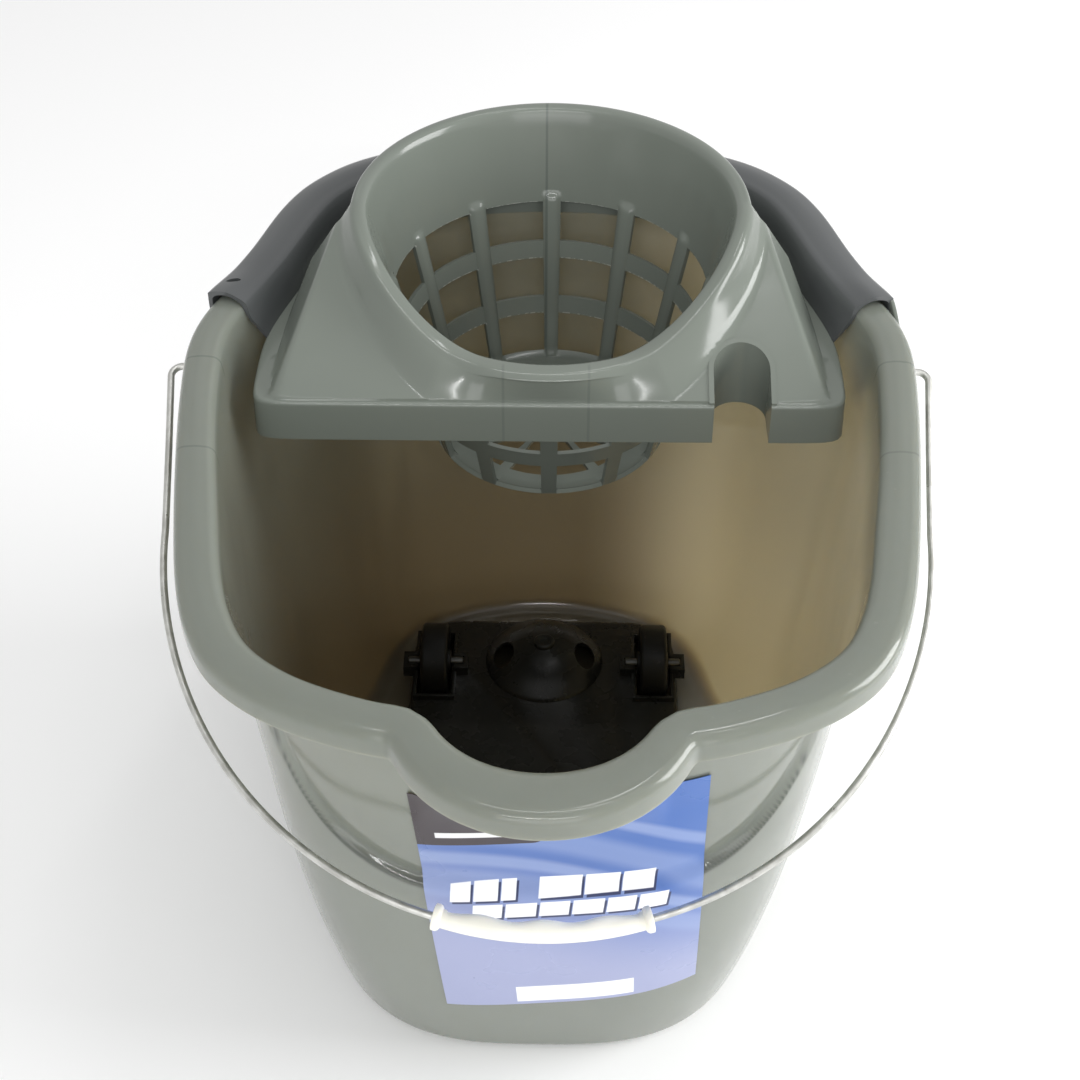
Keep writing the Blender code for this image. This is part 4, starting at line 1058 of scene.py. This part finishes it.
def make_wheel(name, place):
    edge = 2.2 * MM
    hub = WHEEL_HALF_WIDTH + 1.2 * MM
    half = WHEEL_HALF_WIDTH
    profile = [
        (AXLE_RADIUS + AXLE_PLAY, -hub), (5.6 * MM, -hub), (6 * MM, -hub + 0.4 * MM),
        (6.3 * MM, -half + 2 * MM), (12.5 * MM, -half + 2 * MM), (13.2 * MM, -half + 0.8 * MM),
        (14.2 * MM, -half + 0.4 * MM), (15 * MM, -half + 0.6 * MM), (15.5 * MM, -half + 0.2 * MM),
        (16.4 * MM, -half),
    ]
    for across, up in arc(-90, 0, 8):
        profile.append((WHEEL_RADIUS - edge * (1 - across), -half + edge * (1 + up)))
    profile += [(radius, -along) for radius, along in reversed(profile)]
    return turned("tyred_wheel_" + name, profile, (*place, WHEEL_Z), "X", steps=72)


def make_axle(name, place):
    end = AXLE_HALF_LENGTH
    profile = [
        (0, -end), (AXLE_RADIUS - 0.5 * MM, -end), (AXLE_RADIUS, -end + 0.5 * MM),
        (AXLE_RADIUS, end - 0.5 * MM), (AXLE_RADIUS - 0.5 * MM, end), (0, end),
    ]
    return turned("axle_rod_" + name, profile, (*place, WHEEL_Z), "X", steps=32)


# ---- materials

class Shader:
    """A node material: short calls that add nodes, and one Principled BSDF."""

    def __init__(self, name, **constants):
        self.material = bpy.data.materials.new(name)
        self.material.use_nodes = True
        self.tree = self.material.node_tree
        self.bsdf = self.tree.nodes["Principled BSDF"]
        for socket, value in constants.items():
            self.bsdf.inputs[socket.replace("_", " ")].default_value = value
        self.place = self.tree.nodes.new("ShaderNodeTexCoord").outputs["Object"]

    def node(self, kind, *values, **settings):
        made = self.tree.nodes.new("ShaderNode" + kind)
        for key, value in settings.items():
            setattr(made, key, value)
        for socket, value in zip(made.inputs, values):
            self.join(value, socket)
        return made

    def join(self, value, socket):
        if value is None:
            return
        if isinstance(value, bpy.types.NodeSocket):
            self.tree.links.new(value, socket)
        else:
            socket.default_value = value

    def math(self, operation, *values):
        return self.node("Math", *values, operation=operation).outputs[0]

    def times(self, *values):
        return self.math("MULTIPLY", *values)

    def axes(self):
        return self.node("SeparateXYZ", self.place).outputs[:3]

    def noise(self, scale, detail=3.0, stretch=(1, 1, 1), rough=0.5):
        moved = self.node("VectorMath", self.place, stretch, operation="MULTIPLY").outputs[0]
        made = self.node("TexNoise")
        self.join(moved, made.inputs["Vector"])
        made.inputs["Scale"].default_value = scale
        made.inputs["Detail"].default_value = detail
        made.inputs["Roughness"].default_value = rough
        return made.outputs["Fac"]

    def span(self, value, low, high, out_low=0.0, out_high=1.0, kind="SMOOTHSTEP"):
        made = self.node("MapRange", interpolation_type=kind)
        for index, part in enumerate((value, low, high, out_low, out_high)):
            self.join(part, made.inputs[index])
        return made.outputs[0]

    def varied(self, scale, low, high):
        """A roughness that wanders between two values."""
        return self.span(self.noise(scale), 0.3, 0.7, low, high)

    def mix(self, share, first, second):
        made = self.node("Mix", data_type="RGBA")
        self.join(share, made.inputs["Factor"])
        for value, socket in ((first, made.inputs[6]), (second, made.inputs[7])):
            self.join((*value, 1) if isinstance(value, tuple) else value, socket)
        return made.outputs[2]

    def attribute(self, name):
        return self.node("Attribute", attribute_name=name, attribute_type="GEOMETRY").outputs["Fac"]

    def band(self, value, centre, half_width, soft):
        """1 near the centre, 0 further than half_width, with soft edges."""
        away = self.math("ABSOLUTE", self.math("SUBTRACT", value, centre))
        return self.span(away, half_width + soft, half_width)

    def finish(self, color=None, roughness=None, bumps=()):
        self.join(color, self.bsdf.inputs["Base Color"])
        self.join(roughness, self.bsdf.inputs["Roughness"])
        normal = None
        for height, strength, distance in bumps:
            bump = self.node("Bump")
            bump.inputs["Strength"].default_value = strength
            bump.inputs["Distance"].default_value = distance
            self.join(height, bump.inputs["Height"])
            self.join(normal, bump.inputs["Normal"])
            normal = bump.outputs[0]
        self.join(normal, self.bsdf.inputs["Normal"])
        return self.material


def moulded_plastic(shader, base, deep, streak):
    """Colour of semi-gloss moulded plastic: slow, faint mottling and flow streaks."""
    mottled = shader.mix(shader.span(shader.noise(7), 0.3, 0.7), base, deep)
    flow = shader.span(shader.noise(12, 4, (1.6, 1.6, 0.35), 0.55), 0.5, 0.85, 0, 0.35)
    return shader.mix(flow, mottled, streak)


def hair_line(shader, value, centre):
    """1 on a thin line where the value passes the centre."""
    return shader.band(value, centre, HAIR_LINE, HAIR_LINE)


def hair_lines(shader, value, first, second):
    return shader.math("ADD", hair_line(shader, value, first), hair_line(shader, value, second))


def waves_and_grain(shader, scale, strength):
    """Bumps of a moulded wall: slow waves and a fine grain."""
    return ((shader.noise(scale, 2), strength, 0.004), (shader.noise(420, 2), 0.02, 0.0003))


def bucket_material():
    """Grey-green plastic that lets light through to the inside with a warmer tint; its inner faces also
    carry a painted glow, lighter on the right.
    """
    shader = Shader("bucket_plastic", IOR=1.48, Subsurface_Weight=0.75, Subsurface_Scale=0.009)
    shader.bsdf.inputs["Subsurface Radius"].default_value = (1.0, 0.90, 0.74)
    x, y, z = shader.axes()
    outside = moulded_plastic(shader, (0.202, 0.219, 0.190), (0.190, 0.207, 0.180), (0.218, 0.235, 0.206))
    # Painted light: the inner faces are painted as if lit through the wall. They are lighter and warmer on
    # the right, more so lower down, and darker and browner lower down on the left. Near the rim they return
    # to the outer colour.
    right = shader.span(x, 0.015, 0.090)
    deep = shader.mix(right, (0.180, 0.148, 0.096), (0.600, 0.560, 0.460))
    high = shader.mix(right, (0.180, 0.192, 0.167), (0.420, 0.415, 0.365))
    painted_inside_glow = shader.mix(shader.span(z, 0.02, 0.20), deep, high)
    painted_inside_glow = shader.mix(shader.span(z, 0.235, 0.266), painted_inside_glow, (0.202, 0.219, 0.190))
    inner = shader.attribute("inner")
    color = shader.mix(shader.times(inner, 0.9), outside, painted_inside_glow)
    weld = shader.times(hair_lines(shader, y, -0.0275, 0.0342), shader.span(z, 0.262, 0.268))
    color = shader.mix(shader.times(weld, 0.35), color, (0.09, 0.105, 0.095))
    # Painted shade: a dark line along the sunk panel's edge, wider at its bottom ledge.
    painted_crease_shade = shader.times(shader.attribute("painted_crease_shade"), 0.8)
    color = shader.mix(painted_crease_shade, color, (0.050, 0.058, 0.052))
    scuffs = shader.span(shader.noise(240, 2, (1, 1, 0.3)), 0.71, 0.80, 0, 0.25)
    low = shader.times(shader.band(z, 0.255, 0.010, 0.015), shader.span(x, 0.02, 0.06))
    color = shader.mix(shader.times(scuffs, low), color, (0.62, 0.64, 0.60))
    roughness = shader.varied(24, 0.09, 0.14)
    return shader.finish(color, roughness, waves_and_grain(shader, 15, 0.10))


def wringer_material(name, base, deep, streak):
    shader = Shader(name, IOR=1.48)
    x, y = shader.axes()[:2]
    color = moulded_plastic(shader, base, deep, streak)
    seam = shader.times(hair_line(shader, x, -0.0026), shader.span(y, 0.16, 0.17))
    front = shader.times(hair_lines(shader, x, 0.0175, -0.0200), shader.span(y, 0.036, 0.032))
    lines = shader.math("ADD", seam, shader.times(front, 0.5))
    color = shader.mix(shader.times(lines, 0.45), color, (0.07, 0.085, 0.078))
    ragged = shader.span(shader.noise(500), 0.45, 0.6)
    flash = shader.times(shader.span(shader.attribute("flash"), 0.5, 0.95), ragged)
    color = shader.mix(shader.times(flash, 0.45), color, (0.62, 0.62, 0.58))
    roughness = shader.varied(28, 0.12, 0.18)
    return shader.finish(color, roughness, waves_and_grain(shader, 18, 0.09))


def wire_material():
    shader = Shader("galvanised_wire", Metallic=0.9)
    spangle = shader.node("TexVoronoi", shader.place, feature="F1")
    spangle.inputs["Scale"].default_value = 260
    patches = shader.span(shader.noise(120), 0.35, 0.65)
    color = shader.mix(patches, (0.50, 0.50, 0.47), (0.66, 0.66, 0.63))
    roughness = shader.span(spangle.outputs["Distance"], 0.0, 0.6, 0.26, 0.46)
    return shader.finish(color, roughness, ((shader.noise(380), 0.2, 0.0003),))


def grip_material():
    shader = Shader("grip_plastic", IOR=1.48, Subsurface_Weight=0.15, Subsurface_Scale=0.002)
    shader.bsdf.inputs["Subsurface Radius"].default_value = (1.0, 0.8, 0.6)
    color = shader.mix(shader.span(shader.noise(40), 0.35, 0.7), (0.90, 0.885, 0.80), (0.84, 0.82, 0.72))
    roughness = shader.varied(60, 0.34, 0.46)
    return shader.finish(color, roughness, ((shader.noise(160, 2), 0.12, 0.0004),))


def dark_plastic(name, base, worn, low_roughness, high_roughness):
    shader = Shader(name, IOR=1.5, Specular_IOR_Level=0.3)
    color = shader.mix(shader.span(shader.noise(26, 4), 0.35, 0.7), base, worn)
    dust = shader.span(shader.noise(300), 0.62, 0.72, 0, 0.25)
    color = shader.mix(dust, color, (0.05, 0.046, 0.038))
    roughness = shader.varied(70, low_roughness, high_roughness)
    return shader.finish(color, roughness, ((shader.noise(700, 2), 0.12, 0.0003),))


def steel_material():
    shader = Shader("axle_steel", Metallic=1.0)
    color = shader.mix(shader.noise(90), (0.10, 0.10, 0.095), (0.15, 0.15, 0.145))
    lines = shader.noise(240, 3, (1, 12, 12))
    return shader.finish(color, shader.span(lines, 0.3, 0.7, 0.32, 0.48), ((lines, 0.08, 0.0002),))


def slanted_bar(shader, lean, v, left, right, low, high):
    """1 inside a bar whose ends follow the value lean."""
    across = shader.band(lean, (left + right) / 2, (right - left) / 2, PRINT_EDGE)
    upright = shader.band(v, (low + high) / 2, (high - low) / 2, PRINT_EDGE)
    return shader.times(across, upright)


def label_material():
    """Generic printed film: blue sweeps, a dark block, rows of slanted white bars and a white patch."""
    shader = Shader("label_film", IOR=1.45, Coat_Weight=0.10, Coat_Roughness=0.2)
    u, v = shader.attribute("label_u"), shader.attribute("label_v")
    lavender, blue, pale = (0.33, 0.36, 0.55), (0.050, 0.135, 0.42), (0.38, 0.46, 0.68)
    rising = shader.math("ADD", v, shader.times(u, 0.35))
    color = shader.mix(shader.span(rising, 0.35, 0.95), lavender, blue)
    bend = shader.times(shader.math("POWER", u, 2.0), 0.30)
    sweeps = ((0.50, 0.05, 0.3), (0.60, 0.03, 0.45), (0.73, 0.06, 0.35), (0.88, 0.03, 0.45))
    for centre, width, share in sweeps:
        sweep_line = shader.band(shader.math("ADD", v, bend), centre + 0.12, width * 0.4, width)
        color = shader.mix(shader.times(sweep_line, share), color, pale)
    corner = shader.math("POWER", shader.span(u, 0.40, 0.46, kind="LINEAR"), 2.0)
    block_low = shader.math("ADD", shader.times(corner, 0.03), 0.775)
    block = shader.times(shader.span(u, 0.462, 0.457), shader.math("GREATER_THAN", v, block_low))
    color = shader.mix(block, color, (0.035, 0.025, 0.03))
    lean = shader.math("SUBTRACT", u, shader.times(v, 0.16))
    upper = [(0.00, 0.07), (0.085, 0.17), (0.185, 0.235), (0.32, 0.47), (0.485, 0.605), (0.62, 0.73)]
    lower = [(0.085, 0.19), (0.205, 0.315), (0.33, 0.435), (0.45, 0.56), (0.575, 0.675), (0.69, 0.79)]
    dark, white, drop = (0.02, 0.03, 0.10), (0.93, 0.94, 0.97), 0.009
    for bars, low, high in ((upper, 0.555, 0.615), (lower, 0.475, 0.535)):
        for shift, tone in ((drop, dark), (0.0, white)):
            for left, right in bars:
                share = slanted_bar(shader, lean, v, left + shift, right + shift, low - shift, high - shift)
                color = shader.mix(share, color, tone)
    patch = shader.times(shader.band(u, 0.52, 0.23, PRINT_EDGE), shader.band(v, 0.060, 0.042, PRINT_EDGE))
    color = shader.mix(patch, color, (0.90, 0.90, 0.92))
    rule = shader.times(shader.band(u, 0.24, 0.17, 0.004), shader.band(v, 0.82, 0.010, PRINT_EDGE))
    color = shader.mix(rule, color, (0.80, 0.80, 0.80))
    roughness = shader.varied(30, 0.26, 0.36)
    return shader.finish(color, roughness, ((shader.noise(9, 2), 0.10, 0.002),))


# ---- stage

def area_light(name, place, target, size, power):
    light = bpy.data.lights.new(name, "AREA")
    light.shape = "RECTANGLE"
    light.size, light.size_y = size
    light.energy = power
    made = bpy.data.objects.new(name, light)
    made.location = place
    made.rotation_euler = (Vector(target) - Vector(place)).to_track_quat("-Z", "Y").to_euler()
    bpy.context.scene.collection.objects.link(made)


def make_stage():
    bpy.context.scene.view_settings.view_transform = "Standard"
    world = bpy.data.worlds.new("studio")
    bpy.context.scene.world = world
    world.use_nodes = True
    world.node_tree.nodes["Background"].inputs["Color"].default_value = (1.0, 1.0, 1.0, 1)
    world.node_tree.nodes["Background"].inputs["Strength"].default_value = WORLD_STRENGTH
    corners = [(x * FLOOR_REACH, y * FLOOR_REACH, 0) for x, y in ((-1, -1), (1, -1), (1, 1), (-1, 1))]
    floor = mesh_object("studio_floor", corners, [(0, 1, 2, 3)])
    shader = Shader("studio_floor", Roughness=0.9)
    floor.data.materials.append(shader.finish((0.96, 0.96, 0.96, 1)))
    area_light("key_right", (1.6, 0.0, 0.8), (0, 0, 0.15), (1.0, 0.9), 24)
    area_light("front_fill", (0.0, -2.2, 0.7), (0, 0, 0.15), (2.0, 1.0), 13)
    area_light("front_strip", (0.0, -2.0, 1.7), (0, 0, 0.2), (1.8, 0.03), 13)
    area_light("overhead_strip", (0.0, -0.2, 2.0), (0, -0.1, 0.2), (1.2, 0.03), 4)
    area_light("top_strip", (0.30, 0.50, 1.9), (0, 0.05, 0.25), (0.06, 0.5), 1.5)


def make_camera():
    camera = bpy.data.cameras.new("camera")
    camera.lens = CAMERA_LENS
    camera.sensor_width = CAMERA_SENSOR
    made = bpy.data.objects.new("camera", camera)
    made.location = CAMERA_PLACE
    made.rotation_euler = (math.radians(90 - CAMERA_DOWN_DEGREES), 0, math.radians(CAMERA_TURN_DEGREES))
    bpy.context.scene.collection.objects.link(made)
    bpy.context.scene.camera = made


def place_piece(piece, material, body, slot, node):
    piece.data.materials.clear()
    piece.data.materials.append(material)
    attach(piece, body)
    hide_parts(node)


def main():
    make_camera()
    make_stage()
    plan = BucketPlan()
    edge = rim_x(plan, PIVOT_Y)
    bucket_look, steel_look = bucket_material(), steel_material()
    wringer_look = wringer_material(
        "wringer_plastic", (0.176, 0.196, 0.170), (0.166, 0.186, 0.162), (0.190, 0.210, 0.185),
    )
    # Painted shade: the collar, one moulding with the wringer, gets a darker copy of the wringer's plastic.
    collar_shaded_look = wringer_material(
        "collar_shaded_plastic", (0.090, 0.095, 0.097), (0.083, 0.088, 0.090), (0.100, 0.105, 0.107),
    )
    base_look = dark_plastic("base_plastic", (0.015, 0.015, 0.012), (0.020, 0.019, 0.016), 0.22, 0.34)
    wheel_look = dark_plastic("wheel_plastic", (0.008, 0.008, 0.007), (0.013, 0.012, 0.011), 0.38, 0.55)
    bucket = (bucket_look, "bucket_body", "bucket_plastic", "bucket")
    wringer = ("wringer_body", "wringer_plastic", "wringer")
    place_piece(make_bucket(plan), *bucket)
    place_piece(make_ear("left_ear", -1, edge), *bucket)
    place_piece(make_ear("right_ear", 1, edge), *bucket)
    place_piece(make_label(plan), label_material(), "bucket_body", "label_film", "front_label")
    place_piece(make_wringer(plan), wringer_look, *wringer)
    place_piece(make_collar(plan), collar_shaded_look, *wringer)
    place_piece(make_hook(plan), wringer_look, *wringer)
    place_piece(make_bail_wire(), wire_material(), "bail", "galvanised_wire", "bail_wire")
    place_piece(make_bail_grip(), grip_material(), "bail", "grip_plastic", "bail_grip")
    place_piece(make_wheel_base(), base_look, "wheel_base_body", "base_plastic", "wheel_base")
    for name, place in wheel_places().items():
        place_piece(make_wheel(name, place), wheel_look, name + "_wheel", "wheel_plastic", "wheel_" + name)
        place_piece(make_axle(name, place), steel_look, "wheel_base_body", "axle_steel", "axle_" + name)


main()
